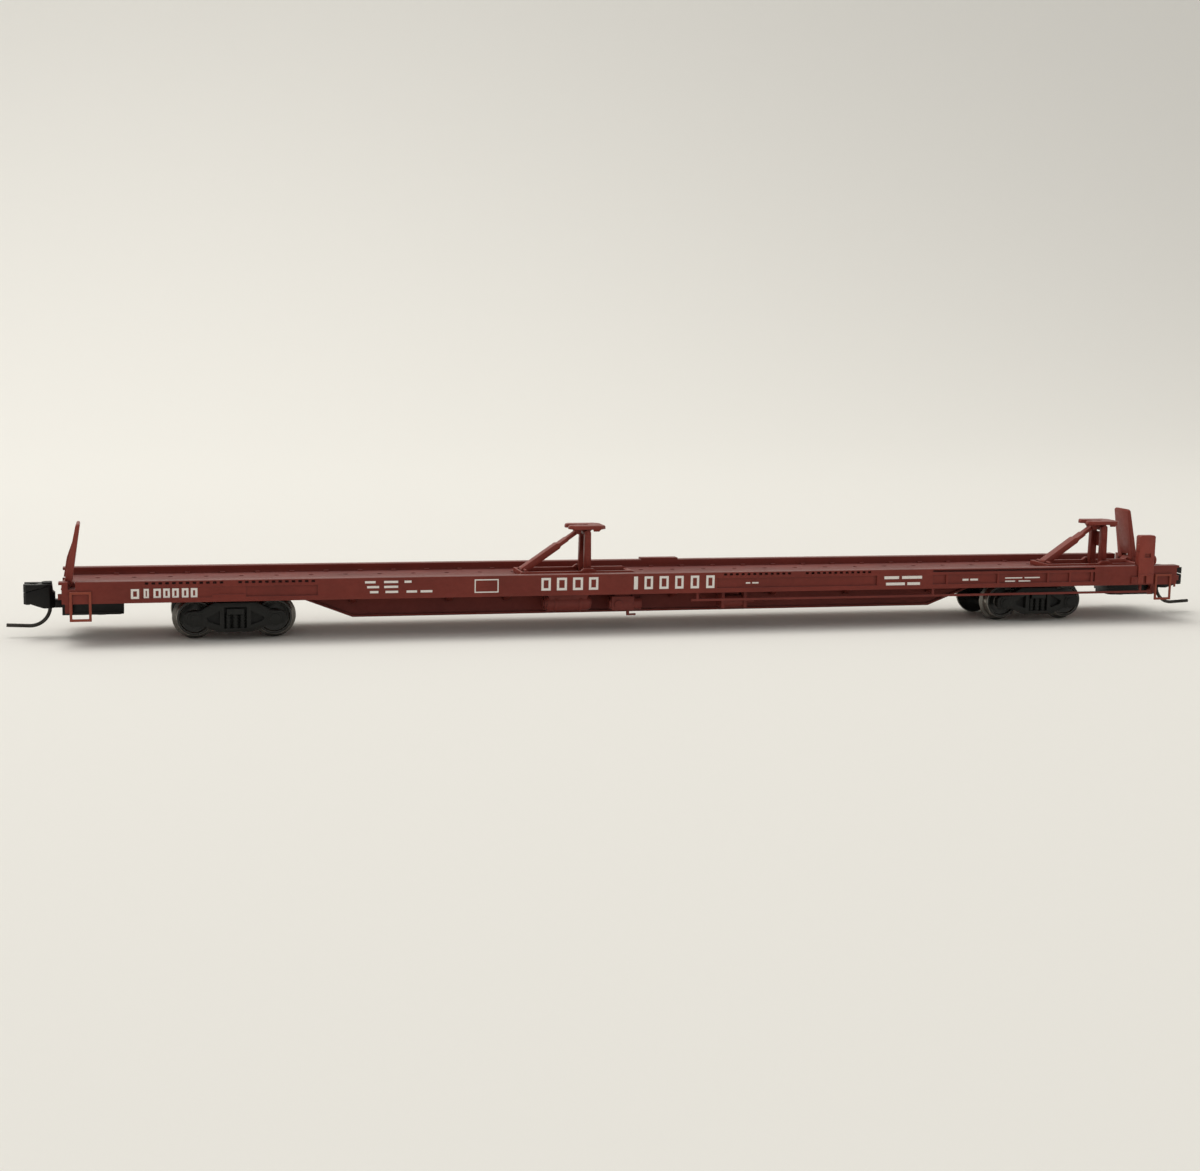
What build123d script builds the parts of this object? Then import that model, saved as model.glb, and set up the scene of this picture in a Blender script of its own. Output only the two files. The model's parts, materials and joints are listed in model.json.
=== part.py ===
"""N-scale (1:160) 89-foot piggyback flat car, built piece by piece.

Millimetres. +X runs along the car, +Y across it, +Z up.
The origin is under the centre of the car, on the surface that the wheel flanges stand on.
"""
from build123d import *
import math
import os

os.makedirs("parts", exist_ok=True)

# ---- driving dimensions -------------------------------------------------------------

# Body
HALF_LENGTH = 85.0
HALF_WIDTH = 8.7
DECK_TOP = 7.75
DECK_BOTTOM = 6.75
RAIL_TOP = 8.8
RAIL_WIDTH = 1.6
SILL_BOTTOM = 5.8
SILL_THICKNESS = 1.1
END_SILL_THICKNESS = 1.2
TRIM_PROUD = 0.25                      # how far steps and brackets stand off the side face
PLATE_RAIL_INSET = 1.8                 # the rail stops short of the end beside a bridge plate

# Outer face of the side sill
PANEL_DEPTH = 0.3
PANEL_BOTTOM = 6.45
PANEL_TOP = 7.94
PANEL_SPANS = ((-74.5, -50.5), (8.3, 33.8), (43.0, 70.6))
PANEL_RIBS = (45.4, 54.0, 62.5, 66.3, 70.05)
RIB_WIDTH = 0.35
LIP_SPAN = (-65.0, -60.4)
LIP_HEIGHT = 0.35
STEP_PLATE_SPAN = (-74.5, -60.4)
STEP_PLATE_PROUD = 0.14
SLOT_STARTS = (-73.8, -61.2, 9.6, 22.5)
SLOT_PITCH = 0.915
SLOT_COUNT = 12
SLOT_LENGTH = 0.5
SLOT_HEIGHT = 0.34
SLOT_DEPTH = 0.6
SLOT_Z = 8.5
GROOVE_SPAN = (43.0, 70.6)

# Deck
DIMPLE_PITCH = 5.03
DIMPLE_COUNT = 33
DIMPLE_Y = 3.6
DIMPLE_RADIUS = 0.38
DIMPLE_DEPTH = 0.3
CLEAT_Y = 6.85
CLEAT_SIZE = (0.7, 0.5, 0.22)
PAD_SPAN = (1.0, 6.9)
PAD_HEIGHT = 0.3
CROSS_BEARERS = (-45.0, -31.0, -22.5, 3.0, 19.0, 31.0, 45.0)
BEARER_THICKNESS = 0.8
BEARER_BOTTOM = 4.4

# Centre sill
SILL_HALF_Y = 2.5
FISHBELLY_BOTTOM = 2.35
FISHBELLY_FLAT = 45.0
FISHBELLY_END = 53.5
SHALLOW_BOTTOM = 5.6
FLANGE_HALF_Y = 2.95
FLANGE_THICKNESS = 0.3
WEIGHT_HALF_LENGTH = 38.0
WEIGHT_HALF_Y = 1.6
WEIGHT_BOTTOM = 3.1
WEIGHT_TOP = 6.6
POCKET_CLEARANCE = 0.1

# Trucks
TRUCK_X = 61.8
HALF_WHEELBASE = 5.5
AXLE_Z = 3.11
FLANGE_RADIUS = 3.11
TREAD_RADIUS = 2.6
WHEEL_INNER_Y = 3.9
FLANGE_OUTER_Y = 4.35
WHEEL_OUTER_Y = 5.74
AXLE_RADIUS = 0.6
JOURNAL_RADIUS = 0.35
JOURNAL_END_Y = 6.75
JOURNAL_CLEARANCE = 0.05
FRAME_INNER_Y = 6.1
FRAME_OUTER_Y = 7.2
CAP_OUTER_Y = 7.5
BOLSTER_HALF_X = 1.3
BOLSTER_SPAN_Z = (3.7, 5.0)
CENTRE_PLATE_RADIUS = 2.0
CENTRE_PLATE_TOP = 5.5
KINGPIN_RADIUS = 0.7
KINGPIN_HEAD_RADIUS = 1.25
RUNNING_CLEARANCE = 0.06

# Draft gear and couplers
BOX_SPAN_X = (76.9, 85.2)
BOX_HALF_Y = 2.4
BOX_BOTTOM = 3.34
LID_TOP = 3.75
BOX_TOP = 6.0
BOX_WALL = 0.45
PIVOT_X = 80.0
PIVOT_POST_RADIUS = 0.55
SCREW_RADIUS = 0.3
SCREW_HEAD_RADIUS = 0.8
SHANK_HALF_Y = 0.75
SHANK_SPAN_Z = (4.19, 5.29)
SHANK_EYE_RADIUS = 1.0
HEAD_REAR_X = 86.2
HEAD_TIP_X = 90.4
HEAD_TOP = 7.54
HEAD_FRONT_BOTTOM = 4.79
KNUCKLE_PIVOT_X = 87.15
KNUCKLE_PIN_RADIUS = 0.4
KNUCKLE_GAP = 0.1
EAR_TOP = 7.79
TRIP_PIN_RADIUS = 0.26
TRIP_PIN_ROUTE = ((86.9, 4.5), (86.9, 1.45), (92.8, 1.75))
TRIP_PIN_BEND = 2.7

# Bridge plates
BRIDGE_SPAN_Y = (2.75, 7.0)
BRIDGE_PIVOT_X = 84.2
BRIDGE_PIVOT_Z = 8.45
BRIDGE_EYE_RADIUS = 0.58
BRIDGE_PIN_RADIUS = 0.3
BRIDGE_TOP_Z = 16.6
BRIDGE_TOP_X = 82.8
BRIDGE_RIB_SPAN_Z = (9.3, 14.6)
BRIDGE_RIB_SHOULDER_Z = 11.9
BRIDGE_RIB_PROUD = 0.3
BRIDGE_RIB_INSET_Y = 0.5
BRIDGE_FACE_DX = 0.4                   # outer face ahead of the plate's middle line

# Trailer hitches
HITCH_X = {"mid": -9.88, "end": 75.73}
HITCH_PIVOT_Z = 8.3
HEAD_PIN_Z = 14.1
POST_HALF_X = 0.53
POST_TOP_HALF_X = 0.45
LEG_INNER_Y = 1.2
LEG_OUTER_Y = 2.1
WEB_SPAN_Z = (11.0, 13.35)
WEB_SPAN_X = (0.3, 0.5)
HITCH_PIN_RADIUS = 0.25
EYE_RADIUS = 0.45
PLATE_BOTTOM = 14.66
PLATE_TOP = 15.2
PLATE_HALF_X = 2.82
PLATE_HALF_Y = 2.5
KINGPIN_BORE_RADIUS = 0.45
STRUT_PIN_DX = -1.2
STRUT_PIN_Z = 14.2
STRUT_FOOT_DX = -9.4
STRUT_FOOT_Z = 8.55
TRACK_INNER_Y = 2.3
TRACK_OUTER_Y = 2.9
TRACK_SPAN_DX = (-10.3, 7.4)
TRACK_TOP = 8.5
TRACK_TIE_LENGTH = 0.35                # cross tie behind the strut's foot
TRACK_STOP_LENGTH = 0.8
TRACK_STOP_TOP = 8.2
TRACK_EAR_BASE = 1.2                   # half length of the ear round the base pin, low and high
TRACK_EAR_CREST = 0.7
TRACK_EAR_RISE = 0.6
GUSSET_PROUD = 0.12
LOW_GUSSET = (0.25, 9.2, 10.6)         # half width, then bottom and top
HIGH_GUSSET = (0.4, 12.2, 13.3)
PLATE_FRONT_HALF_Y = 1.5
PLATE_BACK_HALF_Y = 1.4
PLATE_FRONT_TAPER = 0.7
PLATE_BACK_TAPER = 0.9
PLATE_CHAMFER = 0.2
NECK_HALF_X = 0.4
NECK_TOP_HALF_X = 0.95
THROAT_HALF_Y = 0.25
THROAT_MOUTH_HALF_Y = 0.8
THROAT_FLARE_DX = 1.2
LUG_INNER_Y = 0.62
LUG_OUTER_Y = 1.1
LUG_RADIUS = 0.38
STRUT_PIN_RADIUS = 0.18
STRUT_PIN_HALF_Y = 1.15
SKIRT_INNER_Y = 2.2
SKIRT_OUTER_Y = 2.45
SKIRT_DROP = 0.3
STRUT_THIN = 0.27
STRUT_THICK = 0.46
STRUT_STEP_AT = (0.62, 0.66)           # where the thick half narrows, as shares of the length
STRUT_HALF_Y = 0.9
STRUT_TONGUE_HALF_Y = 0.56
STRUT_EYE_RADIUS = 0.33
FOOT_BAR_HALF_Y = 2.2
FOOT_BAR_RADIUS = 0.22
WELL_DEPTH = 0.45

# Underbody gear
TANK_SPAN_X = (-17.6, -10.3)
TANK_Y = -5.9
TANK_Z = 4.35
TANK_RADIUS = 1.25
TANK_DOME_LENGTH = 0.5
TANK_BAND_DX = 1.8
TANK_BAND_HALF_X = 0.2
SADDLE_RISE = 0.6
SADDLE_HALF_Y = 1.1
VALVE_SPAN_X = (-7.3, -3.9)
VALVE_HALF_Y = 0.9
VALVE_SPAN_Z = (3.15, 5.2)
VALVE_STALK_HALF_Y = 0.6
VALVE_Z = 4.05
VALVE_BARREL_RADIUS = 0.95
VALVE_CAP_RADIUS = 0.8
VALVE_BOSS_RADIUS = 0.6
DRAIN_SPAN_X = (-4.9, -4.5)
DRAIN_SPAN_Z = (2.35, 3.3)
DRAIN_HANDLE_SPAN_X = (-4.9, -3.5)
DRAIN_HANDLE_SPAN_Z = (2.3, 2.55)
CYLINDER_SPAN_X = (9.6, 13.6)
CYLINDER_Z = 4.1
CYLINDER_RADIUS = 0.95
CYLINDER_BRACKET = 0.5
CYLINDER_BRACKET_HALF_Y = 1.2
CYLINDER_BRACKET_BOTTOM = 3.2
PUSH_ROD_LENGTH = 1.4
PUSH_ROD_RADIUS = 0.3
HANGER_STARTS = (5.2, 43.0, 78.6)
HANGER_WIDTH = 0.4
ROD_SPAN_X = (4.4, 81.0)
ROD_Y = -8.35
ROD_Z = 4.69
ROD_HALF = 0.17

# Brake stand and steps
STAND_SPAN_X = (78.05, 80.75)
STAND_TOP = 13.65
STAND_BOTTOM = 6.0
STAND_CHAMFER = 0.2
STAND_WALL = 0.4
STAND_DEPTH = 0.95                     # how far the column reaches in over the rail
STAND_WINDOW_X = (79.0, 80.1)
STAND_WINDOW_Z = (10.15, 10.8)
STAND_WINDOW_DEPTH = 0.3
STAND_NOTCH_X = (79.0, 79.5)
STAND_NOTCH_TOP = 7.2
STAND_LEDGE_X = (78.2, 80.75)
STAND_LEDGE_Z = (7.3, 7.5)
STAND_LEDGE_PROUD = 0.1
BRAKE_WHEEL_RADIUS = 0.8
BRAKE_WHEEL_Z = 9.65
STEP_SPAN_X = (81.1, 84.0)
STEP_SPAN_Z = (3.4, 7.5)
STEP_BAR = 0.35

# Small details of the body casting
CHEEK_WIDTH = 0.8
CHEEK_BOTTOM = 3.7
CORNER_DEPTH = 0.8
CORNER_PROUD = 0.4
CORNER_THICKNESS = 0.35
LEVER_BRACKET_Y = (8.1, 8.5)
LEVER_BRACKET_Z = (6.4, 7.2)
LEVER_BRACKET_PROUD = 0.5
BOLSTER_RIB_HALF_X = 1.1
BOLSTER_RIB_BOTTOM = 6.3
SNUG = 0.05                            # gap between neighbouring pieces that do not move
SIDE_BOX_SPAN_X = (76.9, 78.0)
SIDE_BOX_SPAN_Z = (6.0, 7.1)
WELL_SPAN_DX = (-6.5, 6.6)
NOTCH_DEPTH_X = 0.7
NOTCH_BOTTOM = 7.0

ENDS = (("right", 0), ("left", 180))    # the left end is the right end turned half round


# ---- helpers ------------------------------------------------------------------------

def block(x_span, y_span, z_span, mode=Mode.ADD):
    """Rectangular block between three spans, added to the piece being built."""
    with BuildSketch(Plane.XY.offset(z_span[0])) as outline:
        with Locations(((x_span[0] + x_span[1]) / 2, (y_span[0] + y_span[1]) / 2)):
            Rectangle(x_span[1] - x_span[0], y_span[1] - y_span[0])
    extrude(outline.sketch, amount=z_span[1] - z_span[0], mode=mode)


def side_shape(points, y_span, mode=Mode.ADD):
    """X-Z outline extruded across a Y span."""
    with BuildSketch(Plane.XZ.offset(-y_span[1])) as outline:
        with BuildLine():
            Polyline(*points, close=True)
        make_face()
    extrude(outline.sketch, amount=y_span[1] - y_span[0], mode=mode)


def end_shape(points, x_span, mode=Mode.ADD):
    """Y-Z outline extruded along an X span."""
    with BuildSketch(Plane.YZ.offset(x_span[0])) as outline:
        with BuildLine():
            Polyline(*points, close=True)
        make_face()
    extrude(outline.sketch, amount=x_span[1] - x_span[0], mode=mode)


def plan_shape(points, z_span, mode=Mode.ADD):
    """X-Y outline extruded through a Z span."""
    with BuildSketch(Plane.XY.offset(z_span[0])) as outline:
        with BuildLine():
            Polyline(*points, close=True)
        make_face()
    extrude(outline.sketch, amount=z_span[1] - z_span[0], mode=mode)


def rod_along_z(x, y, z_span, radius, mode=Mode.ADD):
    """Upright round bar."""
    with BuildSketch(Plane.XY.offset(z_span[0])) as section:
        with Locations((x, y)):
            Circle(radius)
    extrude(section.sketch, amount=z_span[1] - z_span[0], mode=mode)


def rod_along_y(x, z, y_span, radius, mode=Mode.ADD):
    """Round bar across the car."""
    with BuildSketch(Plane.XZ.offset(-y_span[1])) as section:
        with Locations((x, z)):
            Circle(radius)
    extrude(section.sketch, amount=y_span[1] - y_span[0], mode=mode)


def rod_along_x(y, z, x_span, radius, mode=Mode.ADD):
    """Round bar along the car."""
    with BuildSketch(Plane.YZ.offset(x_span[0])) as section:
        with Locations((y, z)):
            Circle(radius)
    extrude(section.sketch, amount=x_span[1] - x_span[0], mode=mode)


def write(piece, label, turn=0):
    """Turn a finished piece to its own end of the car, name it and write it."""
    solid = piece.part.rotate(Axis.Z, turn)
    solid.label = label
    export_step(solid, f"parts/{label}.step")


# ---- body casting -------------------------------------------------------------------

INNER_Y = HALF_WIDTH - SILL_THICKNESS
RAIL_INNER_Y = HALF_WIDTH - RAIL_WIDTH

with BuildPart() as body_casting:
    block((-HALF_LENGTH, HALF_LENGTH), (-HALF_WIDTH, HALF_WIDTH), (DECK_BOTTOM, DECK_TOP))
    for side in (-1, 1):
        sill_y = sorted((side * INNER_Y, side * HALF_WIDTH))
        block((-HALF_LENGTH, HALF_LENGTH), sill_y, (SILL_BOTTOM, DECK_BOTTOM))
        rail_y = sorted((side * RAIL_INNER_Y, side * HALF_WIDTH))
        short_end = HALF_LENGTH - PLATE_RAIL_INSET
        rail_x = (-short_end, HALF_LENGTH) if side < 0 else (-HALF_LENGTH, short_end)
        block(rail_x, rail_y, (DECK_TOP, RAIL_TOP))
    for end in (-1, 1):
        end_x = sorted((end * (HALF_LENGTH - END_SILL_THICKNESS), end * HALF_LENGTH))
        block(end_x, (-HALF_WIDTH, HALF_WIDTH), (SILL_BOTTOM, DECK_BOTTOM))
        # Opening for the draft gear box, and the striker cheeks beside it.
        opening_y = (-BOX_HALF_Y - SNUG, BOX_HALF_Y + SNUG)
        block(end_x, opening_y, (SILL_BOTTOM, BOX_TOP + SNUG), Mode.SUBTRACT)
        cheek_x = sorted((end * (HALF_LENGTH - END_SILL_THICKNESS), end * (HALF_LENGTH - 0.2)))
        for side in (-1, 1):
            cheek_y = sorted((side * (BOX_HALF_Y + SNUG), side * (BOX_HALF_Y + SNUG + CHEEK_WIDTH)))
            block(cheek_x, cheek_y, (CHEEK_BOTTOM, SILL_BOTTOM))
        # Corner blocks at rail height, and lever brackets on the end face.
        for side in (-1, 1):
            corner_y = sorted((side * RAIL_INNER_Y, side * HALF_WIDTH))
            corner_x = sorted((end * (HALF_LENGTH - CORNER_DEPTH), end * (HALF_LENGTH + CORNER_PROUD)))
            block(corner_x, corner_y, (RAIL_TOP - CORNER_THICKNESS, RAIL_TOP))
            post_x = sorted((end * (HALF_LENGTH - CORNER_DEPTH), end * HALF_LENGTH))
            block(post_x, corner_y, (DECK_TOP, RAIL_TOP))
            bracket_y = sorted((side * LEVER_BRACKET_Y[0], side * LEVER_BRACKET_Y[1]))
            bracket_x = sorted((end * HALF_LENGTH, end * (HALF_LENGTH + LEVER_BRACKET_PROUD)))
            block(bracket_x, bracket_y, LEVER_BRACKET_Z)
    # Cross bearers under the deck, deeper beside the centre sill.
    for bearer_x in CROSS_BEARERS:
        for side in (-1, 1):
            outline = (
                (side * (FLANGE_HALF_Y + SNUG), BEARER_BOTTOM),
                (side * (INNER_Y - 1.5), SILL_BOTTOM),
                (side * (INNER_Y + 0.2), SILL_BOTTOM),
                (side * (INNER_Y + 0.2), DECK_BOTTOM + 0.2),
                (side * (FLANGE_HALF_Y + SNUG), DECK_BOTTOM + 0.2),
            )
            end_shape(outline, (bearer_x - BEARER_THICKNESS / 2, bearer_x + BEARER_THICKNESS / 2))
    # Body bolsters over the trucks.
    for end in (-1, 1):
        for side in (-1, 1):
            bolster_y = sorted((side * (SILL_HALF_Y + SNUG), side * (INNER_Y + 0.1)))
            bolster_x = (end * TRUCK_X - BOLSTER_RIB_HALF_X, end * TRUCK_X + BOLSTER_RIB_HALF_X)
            block(bolster_x, bolster_y, (BOLSTER_RIB_BOTTOM, DECK_BOTTOM + 0.1))
    # Small box on the near side sill, beside the brake stand.
    block(SIDE_BOX_SPAN_X, (-HALF_WIDTH - TRIM_PROUD, -HALF_WIDTH), SIDE_BOX_SPAN_Z)

    # Recessed panels, slots and the long groove, the same on both faces.
    for side in (-1, 1):
        panel_y = sorted((side * (HALF_WIDTH - PANEL_DEPTH), side * HALF_WIDTH))
        slot_y = sorted((side * (HALF_WIDTH - SLOT_DEPTH), side * HALF_WIDTH))
        for panel_x in PANEL_SPANS:
            block(panel_x, panel_y, (PANEL_BOTTOM, PANEL_TOP), Mode.SUBTRACT)
        plate_y = sorted((side * (HALF_WIDTH - PANEL_DEPTH), side * (HALF_WIDTH - STEP_PLATE_PROUD)))
        block(STEP_PLATE_SPAN, plate_y, (PANEL_BOTTOM, PANEL_TOP))
        block(LIP_SPAN, panel_y, (PANEL_BOTTOM, PANEL_BOTTOM + LIP_HEIGHT))
        for rib_x in PANEL_RIBS:
            block((rib_x - RIB_WIDTH / 2, rib_x + RIB_WIDTH / 2), panel_y, (PANEL_BOTTOM, PANEL_TOP))
        slot_z = (SLOT_Z - SLOT_HEIGHT / 2, SLOT_Z + SLOT_HEIGHT / 2)
        with BuildSketch(Plane.XZ.offset(-slot_y[1])) as slots:
            for start in SLOT_STARTS:
                for index in range(SLOT_COUNT):
                    with Locations((start + index * SLOT_PITCH, SLOT_Z)):
                        Rectangle(SLOT_LENGTH, SLOT_HEIGHT)
        extrude(slots.sketch, amount=SLOT_DEPTH, mode=Mode.SUBTRACT)
        block(GROOVE_SPAN, slot_y, slot_z, Mode.SUBTRACT)

    # Tie-down dimples in the deck and cleats along the foot of each rail.
    with BuildSketch(Plane.XY.offset(DECK_TOP)) as dimples:
        with GridLocations(DIMPLE_PITCH, 2 * DIMPLE_Y, DIMPLE_COUNT, 2):
            Circle(DIMPLE_RADIUS)
    extrude(dimples.sketch, amount=-DIMPLE_DEPTH, mode=Mode.SUBTRACT)
    with BuildSketch(Plane.XY.offset(DECK_TOP)) as cleats:
        with GridLocations(DIMPLE_PITCH, 2 * CLEAT_Y, DIMPLE_COUNT - 1, 2):
            Rectangle(CLEAT_SIZE[0], CLEAT_SIZE[1])
    extrude(cleats.sketch, amount=CLEAT_SIZE[2])
    block(PAD_SPAN, (RAIL_INNER_Y, HALF_WIDTH), (RAIL_TOP, RAIL_TOP + PAD_HEIGHT))

    # Wells that the hitches fold into.
    for hitch_x in HITCH_X.values():
        well_x = (hitch_x + WELL_SPAN_DX[0], hitch_x + WELL_SPAN_DX[1])
        block(well_x, (-TRACK_INNER_Y, TRACK_INNER_Y), (DECK_TOP - WELL_DEPTH, DECK_TOP), Mode.SUBTRACT)

    # Notches in the end sill that let the bridge plates lie level.
    for end in (-1, 1):
        notch_x = sorted((end * (HALF_LENGTH - NOTCH_DEPTH_X), end * (HALF_LENGTH + CORNER_PROUD)))
        notch_y = sorted((end * (BRIDGE_SPAN_Y[0] - 0.2), end * (BRIDGE_SPAN_Y[1] + 0.1)))
        block(notch_x, notch_y, (NOTCH_BOTTOM, DECK_TOP), Mode.SUBTRACT)

write(body_casting, "body_casting")

# ---- centre sill and ballast --------------------------------------------------------

with BuildPart() as center_sill:
    fishbelly = (
        (-FISHBELLY_FLAT, FISHBELLY_BOTTOM),
        (FISHBELLY_FLAT, FISHBELLY_BOTTOM),
        (FISHBELLY_END, SHALLOW_BOTTOM),
        (BOX_SPAN_X[0], SHALLOW_BOTTOM),
        (BOX_SPAN_X[0], DECK_BOTTOM),
        (-BOX_SPAN_X[0], DECK_BOTTOM),
        (-BOX_SPAN_X[0], SHALLOW_BOTTOM),
        (-FISHBELLY_END, SHALLOW_BOTTOM),
    )
    side_shape(fishbelly, (-SILL_HALF_Y, SILL_HALF_Y))
    flange = (
        (-FISHBELLY_FLAT, FISHBELLY_BOTTOM),
        (FISHBELLY_FLAT, FISHBELLY_BOTTOM),
        (FISHBELLY_END, SHALLOW_BOTTOM),
        (FISHBELLY_END - 0.7, SHALLOW_BOTTOM),
        (FISHBELLY_FLAT - 0.1, FISHBELLY_BOTTOM + FLANGE_THICKNESS),
        (-FISHBELLY_FLAT + 0.1, FISHBELLY_BOTTOM + FLANGE_THICKNESS),
        (-FISHBELLY_END + 0.7, SHALLOW_BOTTOM),
        (-FISHBELLY_END, SHALLOW_BOTTOM),
    )
    side_shape(flange, (-FLANGE_HALF_Y, FLANGE_HALF_Y))
    for end in (-1, 1):
        pad_x = sorted((end * BOX_SPAN_X[0], end * (HALF_LENGTH - END_SILL_THICKNESS - SNUG)))
        block(pad_x, (-BOX_HALF_Y, BOX_HALF_Y), (BOX_TOP, DECK_BOTTOM))
        rod_along_z(end * TRUCK_X, 0, (CENTRE_PLATE_TOP + SNUG, SHALLOW_BOTTOM), CENTRE_PLATE_RADIUS)
        rod_along_z(end * TRUCK_X, 0, (CENTRE_PLATE_TOP, DECK_BOTTOM), KINGPIN_RADIUS, Mode.SUBTRACT)
        rod_along_z(end * PIVOT_X, 0, (BOX_TOP, DECK_BOTTOM), SCREW_RADIUS, Mode.SUBTRACT)
    pocket_x = (-WEIGHT_HALF_LENGTH - POCKET_CLEARANCE, WEIGHT_HALF_LENGTH + POCKET_CLEARANCE)
    pocket_y = (-WEIGHT_HALF_Y - POCKET_CLEARANCE, WEIGHT_HALF_Y + POCKET_CLEARANCE)
    block(pocket_x, pocket_y, (WEIGHT_BOTTOM, DECK_BOTTOM), Mode.SUBTRACT)
write(center_sill, "center_sill")

with BuildPart() as ballast_weight:
    weight_x = (-WEIGHT_HALF_LENGTH, WEIGHT_HALF_LENGTH)
    block(weight_x, (-WEIGHT_HALF_Y, WEIGHT_HALF_Y), (WEIGHT_BOTTOM, WEIGHT_TOP))
write(ballast_weight, "ballast_weight")

# ---- trucks -------------------------------------------------------------------------

SIDE_FRAME_TOP = 5.4
POCKET_BACK = 0.3                       # web left behind the openings of the side frame
SIDE_FRAME = (
    (2.3, 1.25),
    (4.3, 2.05),
    (6.7, 2.35),
    (6.95, 2.7),
    (6.95, 3.75),
    (6.5, 4.15),
    (4.8, 4.3),
    (2.9, SIDE_FRAME_TOP),
)
SIDE_WINDOW = ((2.15, 4.25), (2.15, 2.2), (3.7, 2.75), (4.0, 3.3))
SPRING_WINDOW_HALF = 1.55
SPRING_WINDOW_Z = (1.75, 4.75)
SPRING_PLACES = (-1.0, 0.0, 1.0)
SPRING_CORE_RADIUS = 0.38
SPRING_TURN_RADIUS = 0.46
SPRING_TURNS = 4
SPRING_TURN_PITCH = 0.48
SPRING_TURN_HEIGHT = 0.2
BOLSTER_END_HALF_X = 1.2
BOLSTER_END_Z = (3.75, 4.55)
HOUSING_RADIUS = 1.0
HOUSING_PROUD = 0.15
CAP_RADIUS = 0.68


def truck_frame_part():
    """One truck casting at the right end: two side frames, bolster and springs."""
    with BuildPart() as frame:
        for side in (-1, 1):
            frame_y = sorted((side * FRAME_INNER_Y, side * FRAME_OUTER_Y))
            right_half = [(TRUCK_X + x, z) for x, z in SIDE_FRAME]
            left_half = [(TRUCK_X - x, z) for x, z in reversed(SIDE_FRAME)]
            side_shape(right_half + left_half, frame_y)
            pocket_y = sorted((side * (FRAME_INNER_Y + POCKET_BACK), side * FRAME_OUTER_Y))
            for way in (-1, 1):
                side_shape([(TRUCK_X + way * x, z) for x, z in SIDE_WINDOW], pocket_y, Mode.SUBTRACT)
            window_x = (TRUCK_X - SPRING_WINDOW_HALF, TRUCK_X + SPRING_WINDOW_HALF)
            block(window_x, pocket_y, SPRING_WINDOW_Z, Mode.SUBTRACT)
            for spring_x in SPRING_PLACES:
                spring_y = side * (FRAME_INNER_Y + FRAME_OUTER_Y) / 2
                spring_z = (SPRING_WINDOW_Z[0] - 0.1, BOLSTER_END_Z[0] + 0.05)
                rod_along_z(TRUCK_X + spring_x, spring_y, spring_z, SPRING_CORE_RADIUS)
                for turn_index in range(SPRING_TURNS):
                    turn_z = SPRING_WINDOW_Z[0] + 0.2 + turn_index * SPRING_TURN_PITCH
                    turn_span = (turn_z, turn_z + SPRING_TURN_HEIGHT)
                    rod_along_z(TRUCK_X + spring_x, spring_y, turn_span, SPRING_TURN_RADIUS)
            # Bolster end, framed by the window.
            end_y = sorted((side * (FRAME_INNER_Y - 0.3), side * (FRAME_OUTER_Y + 0.2)))
            block((TRUCK_X - BOLSTER_END_HALF_X, TRUCK_X + BOLSTER_END_HALF_X), end_y, BOLSTER_END_Z)
            # Roller bearing housings with raised caps and a rib over each.
            for way in (-1, 1):
                axle_x = TRUCK_X + way * HALF_WHEELBASE
                housing_y = sorted((side * FRAME_OUTER_Y, side * (FRAME_OUTER_Y + HOUSING_PROUD)))
                cap_y = sorted((side * FRAME_OUTER_Y, side * CAP_OUTER_Y))
                rod_along_y(axle_x, AXLE_Z, housing_y, HOUSING_RADIUS)
                rod_along_y(axle_x, AXLE_Z, cap_y, CAP_RADIUS)
                lug_x = (axle_x - HOUSING_RADIUS, axle_x + HOUSING_RADIUS)
                block(lug_x, housing_y, (3.95, 4.18))
            # Raised edge along the top chord.
            block((TRUCK_X - 2.8, TRUCK_X + 2.8), (frame_y[0], frame_y[1]), (5.1, SIDE_FRAME_TOP))
        # Bolster with its centre plate.
        bolster_x = (TRUCK_X - BOLSTER_HALF_X, TRUCK_X + BOLSTER_HALF_X)
        block(bolster_x, (-FRAME_INNER_Y - 0.1, FRAME_INNER_Y + 0.1), BOLSTER_SPAN_Z)
        rod_along_z(TRUCK_X, 0, (BOLSTER_SPAN_Z[0], CENTRE_PLATE_TOP), CENTRE_PLATE_RADIUS)
        bore_z = (BOLSTER_SPAN_Z[0], CENTRE_PLATE_TOP)
        rod_along_z(TRUCK_X, 0, bore_z, KINGPIN_RADIUS + RUNNING_CLEARANCE, Mode.SUBTRACT)
        # Blind bearings for the journals.
        for side in (-1, 1):
            bearing_y = sorted((side * (FRAME_INNER_Y - 0.1), side * (JOURNAL_END_Y + 0.1)))
            for way in (-1, 1):
                axle_x = TRUCK_X + way * HALF_WHEELBASE
                radius = JOURNAL_RADIUS + JOURNAL_CLEARANCE
                rod_along_y(axle_x, AXLE_Z, bearing_y, radius, Mode.SUBTRACT)
    return frame


def axle_part(axle_x):
    """Stepped axle: body between the wheels, thin journals outside them."""
    with BuildPart() as axle:
        rod_along_y(axle_x, AXLE_Z, (-WHEEL_OUTER_Y, WHEEL_OUTER_Y), AXLE_RADIUS)
        rod_along_y(axle_x, AXLE_Z, (-JOURNAL_END_Y, JOURNAL_END_Y), JOURNAL_RADIUS)
    return axle


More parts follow.
